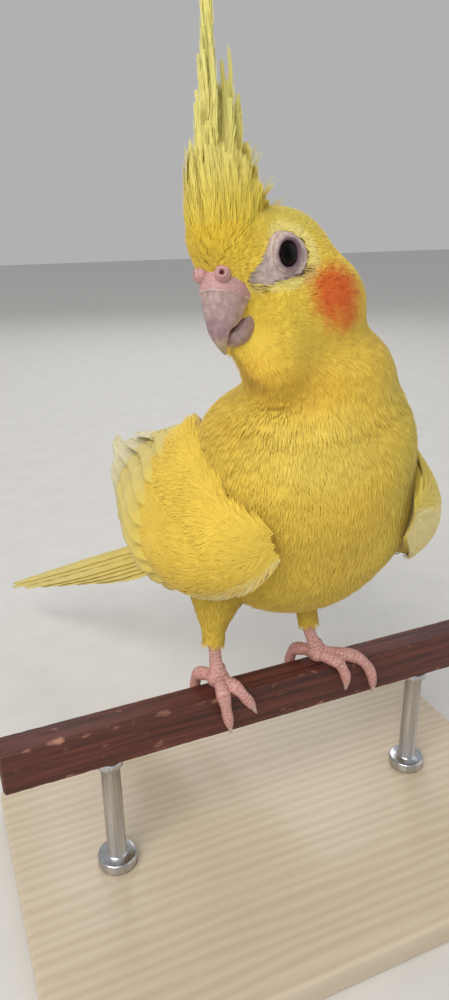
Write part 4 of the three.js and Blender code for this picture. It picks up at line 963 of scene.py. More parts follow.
# Body coat: small soft feathers over breast, belly, back, neck and head. Each is a fan of fine barbs that starts under
# the feathers ahead of it and lies back along the body. They are largest on the body and smallest on the face, longer
# again on the forehead and the chin, and stand off a little where the throat hangs over the breast.
COAT_STRETCHES = {
    "coat_rump": {"u": (0.1, 2.2), "per_mm2": 0.36, "barbs": 9},
    "coat_belly": {"u": (1.7, 3.6), "per_mm2": 0.4, "barbs": 11},
    "coat_breast": {"u": (3.1, 5.3), "per_mm2": 0.5, "barbs": 11},
    "coat_neck": {"u": (4.8, 6.95), "per_mm2": 0.8, "barbs": 10},
    "coat_face": {"u": (6.45, 7.6), "per_mm2": 2.4, "barbs": 7},
    "coat_crown": {"u": (7.1, 7.996), "per_mm2": 2.3, "barbs": 5},
}
STRETCH_FADE, AREA_STEPS = 0.5, 160
BODY_LENGTH, NECK_LENGTH, HEAD_LENGTH, THIGH_LENGTH = 7.8, 6.6, 2.9, 4.8
FOREHEAD_MORE, CHIN_MORE, FOREHEAD_LIFT, LOOSE_LIFT = 2.2, 1.8, 0.7, 0.7
THROAT_AT, THROAT_WIDE, THROAT_LIFT, THROAT_MORE = 5.95, 0.22, 0.5, 0.25
COAT_SWING, LENGTH_VARIES, SETTLE_PACE = 0.28, 0.15, 0.9
COAT_TIP, THIGH_TIP, PATCH, SLENDER = 0.08, 0.15, 0.003, 0.24
THIGH_COUNT, THIGH_BARBS, THIGH_LINE, THIGH_SLENDER = 420, 7, 200, 0.27
BILL_POINT, BILL_MARGIN = np.array([15, 0, -3.0]), 0.25


def golden(count, seed=0, start=1):
    """Places from 0 to 1 in two directions, spread evenly over a square by a golden step in each."""
    n = np.arange(start, start + count)
    return (0.7548776662 * n + seed * 0.37) % 1, (0.5698402910 * n + seed * 0.71) % 1


def spread_roots(density, low_u, high_u, seed):
    """Places (u, v) spread evenly over the skin's area, so many to the square millimetre: a golden two-step
    sequence, read back through the area summed along u and then round v."""
    us = np.linspace(low_u, high_u, AREA_STEPS)
    p = flesh_surface(*np.meshgrid(us, np.linspace(0, 1, AREA_STEPS + 1), indexing="ij"), 0)
    area = np.linalg.norm(np.cross(p[1:, :-1] - p[:-1, :-1], p[:-1, 1:] - p[:-1, :-1]), axis=-1) + 1e-9
    count = int(density * area.sum())
    first, second = golden(count, seed)
    rows = np.concatenate([[0], np.cumsum(area.sum(1))])
    u = np.interp(first * rows[-1], rows, us)
    row = np.clip(np.searchsorted(us, u) - 1, 0, len(us) - 2)
    across = np.concatenate([np.zeros((len(area), 1)), np.cumsum(area, 1)], 1)[row]
    target = second * across[:, -1]
    column = (across[:, 1:] < target[:, None]).sum(1)
    pick = np.arange(count)
    low, high = across[pick, column], across[pick, np.minimum(column + 1, AREA_STEPS)]
    return u, (column + (target - low) / np.maximum(high - low, 1e-9)) / AREA_STEPS


def scatter(count, seed, low=-1.0, high=1.0):
    """Numbers that look random but are always the same: the fraction of a fast sine of each number's place."""
    wild = np.sin(np.arange(np.prod(count)) * 12.9898 + seed * 78.233 + 0.5) * 43758.5453
    return (low + (high - low) * (wild - np.floor(wild))).reshape(count)


def per_feather(values):
    """Numbers of feathers shaped to go with those of their barbs, stations and edges."""
    return values[:, None, None, None]


def barb_fan(length, half, barbs, seed, lift=0.0):
    """A feather as two rows of barbs from its shaft, each a strip of two quads that bends back along the feather and
    narrows to its tip. Gives the distance along the feather, aside from its shaft, and up, for (feather, barb,
    station, edge), all in mm."""
    n = len(length)
    at = np.tile((np.arange(barbs) + 0.5) / barbs, 2)[None] + scatter((n, 2 * barbs), seed, -0.4, 0.4) / barbs
    side = np.repeat([1.0, -1.0], barbs)[None]
    start = 0.04 + 0.6 * at
    end = np.minimum(start + 0.46 + scatter((n, 2 * barbs), seed + 1, -0.06, 0.06), 1.03)
    outline = ease(end / 0.45) * np.sqrt(np.clip(1 - (np.maximum(end - 0.5, 0) / 0.55) ** 2, 0.01, 1))
    reach = side * outline * (1 + scatter((n, 2 * barbs), seed + 2, -0.2, 0.15))
    t = np.array([0, 0.5, 1])
    along = (start[..., None] + (end - start)[..., None] * t**1.1) * length[:, None, None]
    aside = reach[..., None] * (1 - (1 - t) ** 1.9) * half[:, None, None]
    run, cross = np.gradient(along, axis=-1), np.gradient(aside, axis=-1)
    size = np.maximum(np.hypot(run, cross), 1e-9)
    width = (length / barbs * 0.42)[:, None, None] * np.array([1, 0.8, 0.1]) * (
        1 + scatter((n, 2 * barbs), seed + 3, -0.25, 0.25))[..., None]
    edge = np.array([-0.5, 0.5])
    along = along[..., None] - (cross / size * width)[..., None] * edge
    aside = aside[..., None] + (run / size * width)[..., None] * edge
    roll = np.tan(scatter((n, 2 * barbs), seed + 4, -0.1, 0.1))
    wide, far = per_feather(half), np.clip(along / per_feather(length), 0, 1)
    up = width[..., None] * edge * roll[..., None, None] - 0.06 * wide * (aside / wide) ** 2
    return along, aside, up + per_feather(np.broadcast_to(lift, n)) * far**2


def tuft_tone(n, barbs, seed):
    """Light and dark of feathers, of their barbs and along each barb, as factors of the coat's colour."""
    feather = 1 + scatter((n, 1, 1, 1), seed, -0.03, 0.03)
    barb = 1 + scatter((n, 2 * barbs, 1, 1), seed + 1, -0.05, 0.04)
    return np.broadcast_to(feather * barb * np.array([0.95, 1, 1.03])[:, None], (n, 2 * barbs, 3, 2))


def add_tufts(name, places, colour, patch_at, material, slot, replaces=()):
    """Barbs as quads between the two edges of each, with every feather a small patch of the OFBake map."""
    n, barbs = places.shape[:2]
    first = np.arange(n * barbs * 3).reshape(-1, 3) * 2
    near, far = first[:, :-1].ravel(), first[:, 1:].ravel()
    faces = np.stack([near, far, far + 1, near + 1], 1)
    count = n * barbs * 6
    spot = np.repeat(patch_at, barbs * 6, axis=0)
    local = np.stack([np.tile(np.linspace(0, 1, barbs * 3).repeat(2), n), np.tile([0.0, 1.0], count // 2)], 1)
    return add_piece(name, places.reshape(-1, 3) + lift, faces, material, slot, replaces,
                     colour=colour.reshape(-1, 3), patch=spot + local * PATCH)


def lie_of_coat(points, facing, u):
    """The way that feathers lie: towards the tail on the body, and away from the bill on the head, turning down
    at its back."""
    _, way, _ = spine(u)
    head = to_head(points)
    from_bill = unit(head - BILL_POINT) + np.array([0, 0, -0.9]) * ease((-head[..., :1] - 2) / 12)
    t = ease((u - 6.1) / 0.8)[..., None]
    return square_to(unit(-way) * (1 - t) + unit(from_bill) @ HEAD_AXES * t, facing)


def in_bill(q):
    """True inside the horn or the cere: in the section of the bill that is nearest, the point's place along and
    across it is inside the section's ellipse."""
    inside = np.zeros(q.shape[:-1], bool)
    for rows in (UPPER_BEAK_ROWS, LOWER_BEAK_ROWS, CERE_ROWS):
        row = glide_through(rows, 40)
        middle, reach = (row[:, :2] + row[:, 2:4]) / 2, (row[:, :2] - row[:, 2:4]) / 2
        size = np.linalg.norm(reach, axis=1)
        way = reach / size[:, None]
        away = q[..., None, [0, 2]] - middle
        off = np.abs(away[..., 1] * way[:, 0] - away[..., 0] * way[:, 1])
        nearest = off.argmin(-1)
        along = np.take_along_axis((away * way).sum(-1) / (size + BILL_MARGIN), nearest[..., None], -1)[..., 0]
        aside = q[..., 1] / (row[:, 4] + BILL_MARGIN)[nearest]
        inside |= (along**2 + aside**2 < 1) & (off.min(-1) < 0.6)
    return inside


def settle(points, height, rounds, pace=1.0):
    """Points moved out or in until they are at their heights over the flesh, and the way that it looks there."""
    for _ in range(rounds):
        gap, facing = flesh(points)
        points = points + facing * (pace * (height - gap))[..., None]
    return points, facing


def rise_along(along, length, low, high, power):
    """Heights from low at a feather's root to high at its tip."""
    return mix(low, high, np.clip(along / per_feather(length), 0, 1) ** power)


def feather_length(u, q):
    """Feather lengths: long on the body, short on the face, and longer again on the forehead and the chin."""
    length = mix(BODY_LENGTH, NECK_LENGTH, ease((u - 3.6) / 1.4))
    length = mix(length, HEAD_LENGTH, ease(u - 5.9))
    on_head = ease((u - 6.2) / 0.4)
    return length + on_head * (FOREHEAD_MORE * forehead(q) + CHIN_MORE * ease((-10.5 - q[..., 2]) / 3.5))


def forehead(q):
    """From 0 to 1 on the forehead, where the coat rises into the crest."""
    return ease((q[..., 0] - 4) / 5) * ease((q[..., 2] - 0.2) / 2.5) * ease((7.5 - np.abs(q[..., 1])) / 3)


def lay_coat(name, density, low_u, high_u, barbs, seed):
    """Feathers over a stretch of the skin, each set down on the flesh from under its own root's neighbours. They
    thin out at its ends, where the next stretch begins."""
    u, v = spread_roots(density, low_u, high_u, seed)
    root = flesh_surface(u, v, 0)
    _, facing = flesh(root)
    lie = lie_of_coat(root, facing, u)
    swing = COAT_SWING * drift(root, 12, seed) + scatter(len(u), seed + 5, -0.09, 0.09)
    lie = unit(lie + np.cross(facing, lie) * swing[:, None])
    q = to_head(root)
    length = feather_length(u, q) * (1 + scatter(len(u), seed + 6, -LENGTH_VARIES, LENGTH_VARIES))
    tip, waist = (to_head(root + lie * (length * part)[:, None]) for part in (0.95, 0.6))
    fade = np.minimum(u - low_u if low_u > 1 else 1, high_u - u if high_u < 7.9 else 1) / STRETCH_FADE
    keep = (scatter(len(u), seed + 9, 0, 1) < fade) & (off_eye_ring(q) > -0.1) & (off_eye_ring(tip) > -0.5)
    keep &= ~in_bill(tip) & ~in_bill(waist)
    u, v, root, facing, lie, length, q = (value[keep] for value in (u, v, root, facing, lie, length, q))
    throat = hump(u, THROAT_AT, THROAT_WIDE) * ease((-facing[:, 1] + 0.1) / 0.5)
    raised = FOREHEAD_LIFT * forehead(q) * ease((u - 6.4) / 0.4) + THROAT_LIFT * throat
    raised = raised + LOOSE_LIFT * ease((-facing[:, 2] - 0.25) / 0.5) * scatter(len(u), seed + 8, 0, 1)
    along, aside, up = barb_fan(length * (1 + THROAT_MORE * throat), length * SLENDER, barbs, seed, raised)
    places = per_feather(root) + per_feather(lie) * along[..., None] + (
        per_feather(np.cross(facing, lie)) * aside[..., None])
    depth = per_feather(coat_depth(u) * (0.35 + 0.65 * ease(off_eye_ring(q) / 2.5)))
    height = rise_along(along, length, -depth, COAT_TIP, 0.7) + up
    places, _ = settle(places, height, 3, SETTLE_PACE)
    colour = per_feather(plumage_colour(root)) * tuft_tone(len(u), barbs, seed + 7)[..., None]
    add_tufts(name, places, np.clip(colour, 0, 1), np.stack([u / SPINE_END, v], 1) * 0.96, plumage, "yellow_plumage")


for k, (name, stretch) in enumerate(COAT_STRETCHES.items()):
    lay_coat(name, stretch["per_mm2"], *stretch["u"], stretch["barbs"], 11 + 12 * k)

for k, (name, (rows, radii)) in enumerate(THIGHS.items()):
    first, second = golden(THIGH_COUNT, start=0)
    centre = even_line(rows, THIGH_LINE)
    way, side, across = tube_frames(centre)
    radius = glide_through(np.array(radii)[:, None], THIGH_LINE)[:, 0]
    length = THIGH_LENGTH * (1 + scatter(THIGH_COUNT, 61 + k, -LENGTH_VARIES, LENGTH_VARIES))
    along, aside, up = barb_fan(length, length * THIGH_SLENDER, THIGH_BARBS, 63 + k)
    total = np.linalg.norm(np.diff(centre, axis=0), axis=1).sum()
    down = np.clip(per_feather(first) * 0.98 + along / total, 0, 1.2)
    at = np.clip(down, 0, 1) * (THIGH_LINE - 1)
    low = np.clip(at.astype(int), 0, THIGH_LINE - 2)
    part = (at - low)[..., None]
    middle = centre[low] * (1 - part) + centre[low + 1] * part + way[low] * (np.clip(down - 1, 0, 1) * total)[..., None]
    reach = radius[low] * (1 - part[..., 0]) + radius[low + 1] * part[..., 0]
    turn = per_feather(second) * 2 * np.pi + aside / np.maximum(reach, 2)
    height = rise_along(along, length, -THIGH_COAT, THIGH_TIP, 0.7) + up
    out = side[low] * np.cos(turn)[..., None] + across[low] * np.sin(turn)[..., None]
    places = middle + out * (reach + height)[..., None]
    colour = plumage_colour(places[:, :1, :1, :1]) * tuft_tone(THIGH_COUNT, THIGH_BARBS, 65 + k)[..., None]
    add_tufts("coat_thigh_" + name, places, np.clip(colour, 0, 1),
              np.stack([0.02 + 0.05 * first + 0.9 * k, 0.985 * second], 1), plumage, "yellow_plumage")

# Bristles: fine dark hair-like feathers along the lower edge of each ring of bare skin and in front of it. They lie
# back and a little down, just over the coat.
BRISTLE_COUNT, BRISTLE_LENGTH, BRISTLE_WIDTH, BRISTLE_BROWN = 46, 2.3, 0.1, (86, 68, 44)
BRISTLE_FROM, BRISTLE_OVER, BRISTLE_LIE = -140, 128, np.array([-1.0, 0, -0.35])

for name, side in SIDES:
    middle, _, forward, up_way = eye_axes(side)
    f = (np.arange(BRISTLE_COUNT) + 0.5) / BRISTLE_COUNT
    turn = np.radians(BRISTLE_FROM + BRISTLE_OVER * f) + scatter(BRISTLE_COUNT, 131, -0.03, 0.03)
    far = ring_outline(turn) + scatter(BRISTLE_COUNT, 132, -0.15, 0.7)
    root = (far * np.cos(turn))[:, None] * forward + (far * np.sin(turn))[:, None] * up_way + middle
    heading = unit(BRISTLE_LIE + 0.3 * scatter((BRISTLE_COUNT, 3), 133))
    length = BRISTLE_LENGTH * (1 + scatter(BRISTLE_COUNT, 134, -0.35, 0.3))
    t = np.array([0, 0.5, 1])
    line = from_head(root[:, None] + heading[:, None] * (length[:, None] * t)[..., None])
    line, facing = settle(line, 0.35 + 0.3 * t, 3)
    across = unit(np.cross(facing, np.gradient(line, axis=1)))
    half = BRISTLE_WIDTH * np.array([0.5, 0.4, 0.08])[:, None]
    places = np.stack([line - across * half, line + across * half], 2)[:, None]
    colour = np.broadcast_to(linear(BRISTLE_BROWN), places.shape)
    add_tufts("bristles_" + name, places, colour, np.stack([0.4 + 0.01 * f, 0.5 + 0.4 * f], 1), plumage,
              "yellow_plumage")

# Wings: folded against the body, feathered in tiers. A pad of flesh carries small coverts; below them lie median and
# greater coverts, the secondaries and, from under these, the long primaries. The flights are pale cream vanes.
MIDLINE = 7
WING_ROWS = np.array([
    [-22, 17, 46, 19, 50, 19, 54],
    [-16, 23, 37.5, 30, 45.5, 26, 57],
    [-4, 29, 31, 38, 44, 26.5, 66],
    [13, 31.5, 30, 39, 45, 24, 71],
    [30, 30.5, 32, 36.5, 46, 18, 69],
    [48, 27, 32, 33, 45, 13, 63],
    [66, 24, 31.5, 29.5, 42, 10, 56],
    [86, 22, 31.5, 25.5, 39.5, 8.5, 49],
    [112, 19.5, 31.5, 20.5, 36, 8.5, 42],
    [144, 14, 31.5, 14.5, 33, 11, 36],
])
FLIGHT_CREAM, FLIGHT_YELLOW, COVERT_YELLOW, PALE_RIM_AND_PAINTED_LIGHT = (236, 227, 184), (230, 210, 122), (230, 203, 92), (238, 226, 176)
BARB_GREY, BARB_SLANT, BARBS_PER_MM, PAD_PAINTED_SHADE = (216, 216, 216), -1.25, 15.0, 0.85
PAD_FROM, PAD_TO, PAD_RINGS, PAD_ACROSS, PAD_THICK, PAD_SKIN = -20, 52, 80, 36, 7.5, -0.9
WING_TIERS = {  # where roots and tips begin and end along y, half a vane's width, height, colours of root and tip
    "secondary": ((26, 36), (80, 99), 4.7, -0.9, (FLIGHT_YELLOW, FLIGHT_CREAM)),
    "greater_covert": ((12, 20), (50, 60), 4.3, 0, (FLIGHT_YELLOW, FLIGHT_YELLOW)),
    "median_covert": ((-2, 6), (30, 37), 4.0, 0.9, (COVERT_YELLOW, FLIGHT_YELLOW)),
}
LINES, LINE_LOW, LINE_HIGH, LINE_FAN, VANE_TILT = 9, 0.13, 0.88, 3.0, 0.34
PRIMARY_COUNT, PRIMARY_SUNK, PRIMARY_TIP_SUNK, PRIMARY_HALF, PRIMARY_STEP = 8, 6.5, 1.5, 4.0, 0.42
PRIMARY_ROOTS, PRIMARY_TIPS = np.array([[12, 0.12], [26, 0.3]]), np.array([[144, 0.3], [104, 0.5]])
VANE_STEPS, VANE_ACROSS, VANE_THICK, VANE_CAMBER, QUILL, VANE_SUNK = 56, 11, 0.3, 0.16, 0.2, 2.4
SMALL_BARBS, SMALL_SLENDER, SMALL_STEP = 8, 0.28, 0.5
WING_COATS = {  # y and t are each the first root's place and how far the roots spread from it
    "small_coverts": {"count": 1000, "y": (-22.4, 34), "t": (0.035, 0.955), "slant": 0.08, "heights": (-0.9, 0.9),
                      "length": lambda y, part: 6.2 + 1.8 * ease((y + 10) / 25), "seed": 81},
    "scapulars": {"count": 300, "y": (-18, 34), "t": (0.84, 0.13), "slant": 0.62, "heights": (-1.6, 1.2),
                  "length": lambda y, part: 10.5 - 3 * (1 - part), "seed": 181},
}


def wing_place(side, y, t):
    """The folded wing's outer face: at y, a curve with t from its lower edge over its side to its upper edge."""
    y, t = np.broadcast_arrays(y, t)
    row = glide(WING_ROWS, np.interp(y, WING_ROWS[:, 0], np.arange(len(WING_ROWS))))
    over = np.maximum(y - WING_ROWS[-1, 0], 0) + np.minimum(y - WING_ROWS[0, 0], 0)

    def bow(low, through, top):
        pull = 2 * through - (low + top) / 2
        return (1 - t) ** 2 * low + 2 * t * (1 - t) * pull + t**2 * top

    return np.stack([MIDLINE + side * bow(row[..., 1], row[..., 3], row[..., 5]), row[..., 0] + over,
                     bow(row[..., 2], row[..., 4], row[..., 6])], -1)


def wing_facing(side, y, t):
    """The way that the wing's outer face looks, from its slopes along and across."""
    along = wing_place(side, y + 0.5, t) - wing_place(side, y - 0.5, t)
    across = wing_place(side, y, t + 0.02) - wing_place(side, y, t - 0.02)
    return unit(np.cross(along, across)) * side


def vane(middle, aside, face, half, seed):
    """A long feather as a thin closed sheet round its shaft: rings of points, upper face then lower one, its two
    edges bent down a little and frayed here and there, with each point's place along and across it."""
    s = np.linspace(0, 1, len(middle))
    across = np.linspace(-1, 1, VANE_ACROSS)
    fray = drift(np.stack([s * 40, 0 * s, 0 * s + seed], 1), 1.3, 71)[:, None] * 0.05 * (across[None] ** 8)
    reach = half[:, None] * across[None] * (1 + fray)
    bend = -VANE_CAMBER * half.max() * (across[None] ** 2) * ease(s * 5)[:, None]
    ridge = QUILL * (1 - 0.8 * s)[:, None] * hump(reach, 0, 0.45) * 0.8
    thick = VANE_THICK * (1 - 0.7 * np.abs(across[None]) ** 3) / 2
    waves = 0.06 * np.sin(s[:, None] * 60 - np.abs(reach) * 1.1 + seed)
    sheet = middle[:, None] + aside[:, None] * reach[..., None]
    upper = sheet + face[:, None] * (bend + thick + ridge + waves)[..., None]
    lower = sheet + face[:, None] * (bend - thick + waves)[..., None]
    rings = np.concatenate([upper, lower[:, ::-1]], 1)
    along = np.broadcast_to(gone_along(middle)[:, None], reach.shape)
    return rings, np.concatenate([along, along], 1), np.concatenate([reach, reach[:, ::-1]], 1)


def vane_outline(s, half, tip=0.16):
    """Half the width of a flight feather at s: narrow at the quill, full from a third, rounded off at its tip."""
    rounded = 1 - (np.maximum(s - 1 + 2 * tip, 0) / (2 * tip)) ** 2
    return half * (0.35 + 0.65 * ease(s / 0.3)) * np.sqrt(np.clip(rounded, 0.004, 1))


flight, shader, tree = new_material("flight_vane", rough=0.75, Specular_IOR_Level=0.15, **SHEEN)
along_barb = add_math(tree, "MULTIPLY_ADD", add_math(tree, "ABSOLUTE", add_value(tree, "across")), BARB_SLANT,
                      add_value(tree, "along"))
barbs = add_math(tree, "SINE", add_math(tree, "MULTIPLY", along_barb, BARBS_PER_MM))
barbs = add_math(tree, "MULTIPLY_ADD", barbs, 0.5, 0.5)
add_tint(tree, shader, add_ramp(tree, barbs, [(0.0, BARB_GREY), (0.7, WHITE)]))
add_bump(tree, shader, barbs, 0.3, 0.00012)


def add_vanes(name, vanes, replaces=()):
    """Vanes as one piece, each a closed tube of its own with its places along and across it and its tint."""
    points, faces = join([closed_tube(rings) for rings, *_ in vanes])
    along, across, tint = (np.concatenate([with_ends(vane[k]) for vane in vanes]) for k in (1, 2, 3))
    add_closed(name, points, faces, flight, "flight_feathers", replaces, colour=tint,
               values={"along": along, "across": across})


def vane_colour(along, across, length, colours, seed):
    """A vane's colour: from that of its root to that of its tip, with a darker shaft and soft cloudy patches."""
    s = np.clip(along / length, 0, 1)[..., None]
    colour = mix(linear(colours[0]), linear(colours[1]), ease(1.2 * s))
    shaft = hump(across, 0, 0.3)[..., None]
    cloud = drift(np.stack([along, across * 2, 0 * along + seed * 7], -1), 6, 72)[..., None]
    return np.clip(colour * (1 + 0.06 * cloud) * (1 - 0.16 * shaft), 0, 1)


def wing_vane(side, root, tip, rise, half, seed, colours):
    """A feather on the wing's outer face from root (y, t) to tip (y, t), rising from the pad to its own height."""
    s = np.linspace(0, 1, VANE_STEPS)
    y, t = (mix(start, end, s) for start, end in zip(root, tip))
    place = wing_place(side, y, t)
    way = unit(np.gradient(place, axis=0))
    out = wing_facing(side, y, np.maximum(t, 0.42 * ease((y - 12) / 30)))
    middle = place + out * (-VANE_SUNK + (rise(y) + VANE_SUNK) * ease(s * 2.6))[:, None]
    aside = unit(np.cross(out, way)) * side
    lean = (-side * VANE_TILT * ease(s * 3))[:, None]
    aside = aside * np.cos(lean) + np.cross(way, aside) * np.sin(lean)
    face = np.cross(aside, way) * side
    rings, along, across = vane(middle, aside, face, vane_outline(s, half), seed)
    length = along[-1, 0]
    if side < 0:
        rings, along, across = rings[:, ::-1], along[:, ::-1], across[:, ::-1]
    return rings, along, across, vane_colour(along, across, length, colours, seed)


def lay_on_wing(name, k, side, count, y, t, slant, heights, length, seed):
    """Small feathers on the wing's outer face, their roots spread over y and t, heading backwards and down by slant,
    each rising from the first height to the second. They are paler along the wing's lower edge. On the left wing, which
    the lamps leave in shade, they are also painted paler over most of its face: painted light."""
    first, second = golden(count)
    y0, t0, seed = y[0] + y[1] * first, t[0] + t[1] * second, seed + k
    length = length(y0, first) * (1 + scatter(count, seed, -LENGTH_VARIES, LENGTH_VARIES))
    along, aside, up = barb_fan(length, length * SMALL_SLENDER, SMALL_BARBS, seed + 2)
    girth = np.linalg.norm(wing_place(side, y0, t0 + 0.01) - wing_place(side, y0, t0 - 0.01), axis=-1) / 0.02
    angle = per_feather(slant + scatter(count, seed + 3, -0.12, 0.12))
    y = per_feather(y0) + along * np.cos(angle) - side * aside * np.sin(angle)
    t = per_feather(t0) - (along * np.sin(angle) + side * aside * np.cos(angle)) / per_feather(girth)
    t = np.clip(t, -0.03, 1.3)
    height = rise_along(along, length, *heights, 0.65) + up
    height = height + SMALL_STEP * per_feather(ease((y0 + 4) / 12))
    places = wing_place(side, y, t) + wing_facing(side, y, t) * height[..., None]
    # The pale band along each wing's lower edge is the coverts' own colour. The left wing's coverts are also painted
    # paler over most of their face: painted light that lifts the shade on that side.
    pale_rim_and_painted_light = np.maximum(ease((0.2 - t0) / 0.16), 0.9 * (side > 0) * ease((0.95 - t0) / 0.3))[:, None]
    colour = mix(plumage_colour(wing_place(side, y0, t0)), linear(PALE_RIM_AND_PAINTED_LIGHT), 0.65 * pale_rim_and_painted_light)
    colour = per_feather(colour) * tuft_tone(count, SMALL_BARBS, seed + 4)[..., None]
    patch = np.stack([0.01 + 0.45 * first + 0.5 * k, 0.985 * second], 1)
    add_tufts(name, places, np.clip(colour, 0, 1), patch, plumage, "flight_feathers")


for k, (name, side) in enumerate(SIDES):
    s = np.linspace(0, 1, PAD_RINGS)
    y = mix(PAD_FROM, PAD_TO, s * (0.45 + 0.55 * s))
    gy, gt = np.meshgrid(y, np.linspace(0, 1, PAD_ACROSS), indexing="ij")
    out = wing_facing(side, gy, gt)
    depth = PAD_THICK * np.sin(np.pi * (0.12 + 0.76 * gt)) * ease(s * 6 + 0.25)[:, None] * (
        1 - 0.85 * ease((s - 0.45) / 0.55))[:, None]
    outer = wing_place(side, gy, gt) + out * PAD_SKIN
    inner = wing_place(side, gy, gt) + out * (PAD_SKIN - 0.5 - depth)[..., None]
    points, faces = closed_tube(np.concatenate([outer, inner[:, ::-1]], 1))
    # The pad is the coat's colour darkened: painted shade under the coverts.
    add_closed("wing_pad_" + name, points, faces, plumage, "flight_feathers", ["wing_" + name],
               colour=plumage_colour(points) * PAD_PAINTED_SHADE)

    seed = 100 * k
    for tier, (roots, tips, half, level_at, colours) in WING_TIERS.items():
        vanes = []
        for f in np.arange(LINES) / (LINES - 1):
            line, fan = mix(LINE_LOW, LINE_HIGH, f), (f - 0.5) * LINE_FAN
            seed += 1
            vanes.append(wing_vane(side, (mix(*roots, f), line), (mix(*tips, f), line),
                                   lambda y: level_at + fan * ease((y - 38) / 45), half, seed, colours))
        add_vanes(tier + "s_" + name, vanes)
    vanes = []
    for i in range(PRIMARY_COUNT):
        f, under = i / (PRIMARY_COUNT - 1), PRIMARY_STEP * (PRIMARY_COUNT - 1 - i)
        vanes.append(wing_vane(side, mix(*PRIMARY_ROOTS, f), mix(*PRIMARY_TIPS, f),
                               lambda y: (PRIMARY_SUNK - PRIMARY_TIP_SUNK) * ease((y - 96) / 42)
                               - PRIMARY_SUNK - under * ease((y - 20) / 40),
                               PRIMARY_HALF, seed + 20 + i, (FLIGHT_YELLOW, FLIGHT_CREAM)))
    add_vanes("primaries_" + name, vanes)
    for coat, feathers in WING_COATS.items():
        lay_on_wing(coat + "_" + name, k, side, **feathers)

# Tail: six pairs of long narrow vanes, the middle pair longest and uppermost, over and under which lie short coverts.
# It is laid out flat along +Y and then swung, dropped and twisted into its place.
TAIL_AT, TAIL_LENGTH, TAIL_PAIRS = np.array([4, 43, 28]), 142, 6
TAIL_SWING, TAIL_DROP, TAIL_TWIST = np.radians([27, 26.5, 18])
TAIL_HALF, TAIL_COVERT_COUNT, TAIL_STEPS = 3.4, 9, 90
TAIL_SHORTER, TAIL_LOWER = 13.5, 0.85
TAIL_WIDTHS = np.array([[0, 0.45], [0.3, 0.9], [0.6, 1], [0.85, 0.72], [0.96, 0.4], [1, 0.06]])


def turn_in_plane(first, second, angle):
    """The matrix that turns the first of two axes towards the second."""
    made = np.eye(3)
    made[first, first] = made[second, second] = np.cos(angle)
    made[second, first], made[first, second] = np.sin(angle), -np.sin(angle)
    return made


def tail_vane(line, outline, seed, length):
    """A vane in the tail's own frame, flat across it, from a line of middles and its half widths."""
    flat, _, face = (np.broadcast_to(axis, line.shape) for axis in np.eye(3))
    rings, along, across = vane(line, flat, face, outline, seed)
    tint = vane_colour(along, across, length, (COVERT_YELLOW, FLIGHT_YELLOW), seed)
    return rings @ tail_axes + TAIL_AT, along, across, tint


tail_axes = (turn_in_plane(0, 1, TAIL_SWING) @ turn_in_plane(2, 1, TAIL_DROP) @ turn_in_plane(0, 2, TAIL_TWIST)).T
s = np.linspace(0, 1, TAIL_STEPS)
vanes = []
for pair in range(TAIL_PAIRS):
    for side in (1, -1):
        length = TAIL_LENGTH - pair * TAIL_SHORTER
        aside = side * (0.8 if pair == 0 else 2.6 + 1.05 * pair)
        level_at = 0.9 if pair == 0 and side > 0 else -TAIL_LOWER * pair
        line = np.stack([aside * (0.75 + 0.6 * ease(s * 1.6) - 0.55 * s * s), length * s, level_at - 1.2 * s], 1)
        vanes.append(tail_vane(line, TAIL_HALF * np.interp(s, *TAIL_WIDTHS.T), 300 + 2 * pair + side, length))
for up in (1, -1):
    for i in range(TAIL_COVERT_COUNT):
        f = i / (TAIL_COVERT_COUNT - 1)
        place = (f - 0.5) * 2
        length = (44 if up > 0 else 56) * (1 - 0.32 * np.abs(place)) * (1 - 0.12 * (i % 2))
        high = 3.2 - 0.6 * ease(s * 1.4) if up > 0 else -3 - 3.6 * ease(s * 1.4)
        line = np.stack([place * 4.8 + 0 * s, -4 + length * s, high + up * (0.9 * (1 - abs(place)) + 0.2 * (i % 2))], 1)
        vanes.append(tail_vane(line, vane_outline(s, TAIL_HALF, 0.2), 330 + 20 * up + i, length))
add_vanes("tail_vanes", vanes, ["tail"])

# Crest: long narrow loose-barbed feathers rooted along the crown and raised, the longest in front. They draw together
# into a few wisps that lean back towards their tips, with a few loose hairs behind them, over a bush of short soft
# feathers from forehead to nape.
CREST_WISPS = np.array([  # root ahead, tip ahead, tip up, half the width of the roots, half a vane, feathers
    [12.6, 0.2, 52.5, 3.4, 1.6, 20],
    [12.8, 7.4, 31, 3.6, 1.4, 9],
    [10, -3.4, 39.5, 3.6, 1.5, 13],
    [7.4, -3.6, 30, 3.8, 1.4, 10],
    [4.8, -4.2, 22.5, 3.8, 1.4, 9],
    [2.4, -5, 17.5, 4, 1.3, 8],
    [0, -5.8, 13.5, 4, 1.2, 7],
])
CREST_HAIRS = np.array([  # the same, of the few loose hairs behind
    [3, -9.6, 22, 3, 0.9, 6],
    [0.5, -12.6, 15, 4, 0.9, 8],
    [-2, -16, 10.5, 4, 0.9, 8],
])
HAIR_BARBS, CREST_BARBS, CREST_SHAFT_STEPS, CREST_SUNK, CREST_TWIST, CREST_STRAND = 5, 60, 12, 1.2, np.radians(56), 0.24
DOWN_DENSITY, DOWN_BARBS, DOWN_SUNK, CREST_ASIDE = 1.5, 18, 0.5, 8.2
PLUME_WIDTHS = np.array([[0, 0.8], [0.2, 1], [0.55, 0.55], [0.96, 0.04]])
DOWN_LENGTHS = np.array([[-9, 3], [-5, 4], [0, 7], [5, 12], [13, 15]])
DOWN_LEANS = np.array([[-8, 4], [-3, 2], [2, 0.8], [8, 0.35], [13, 0.24]])
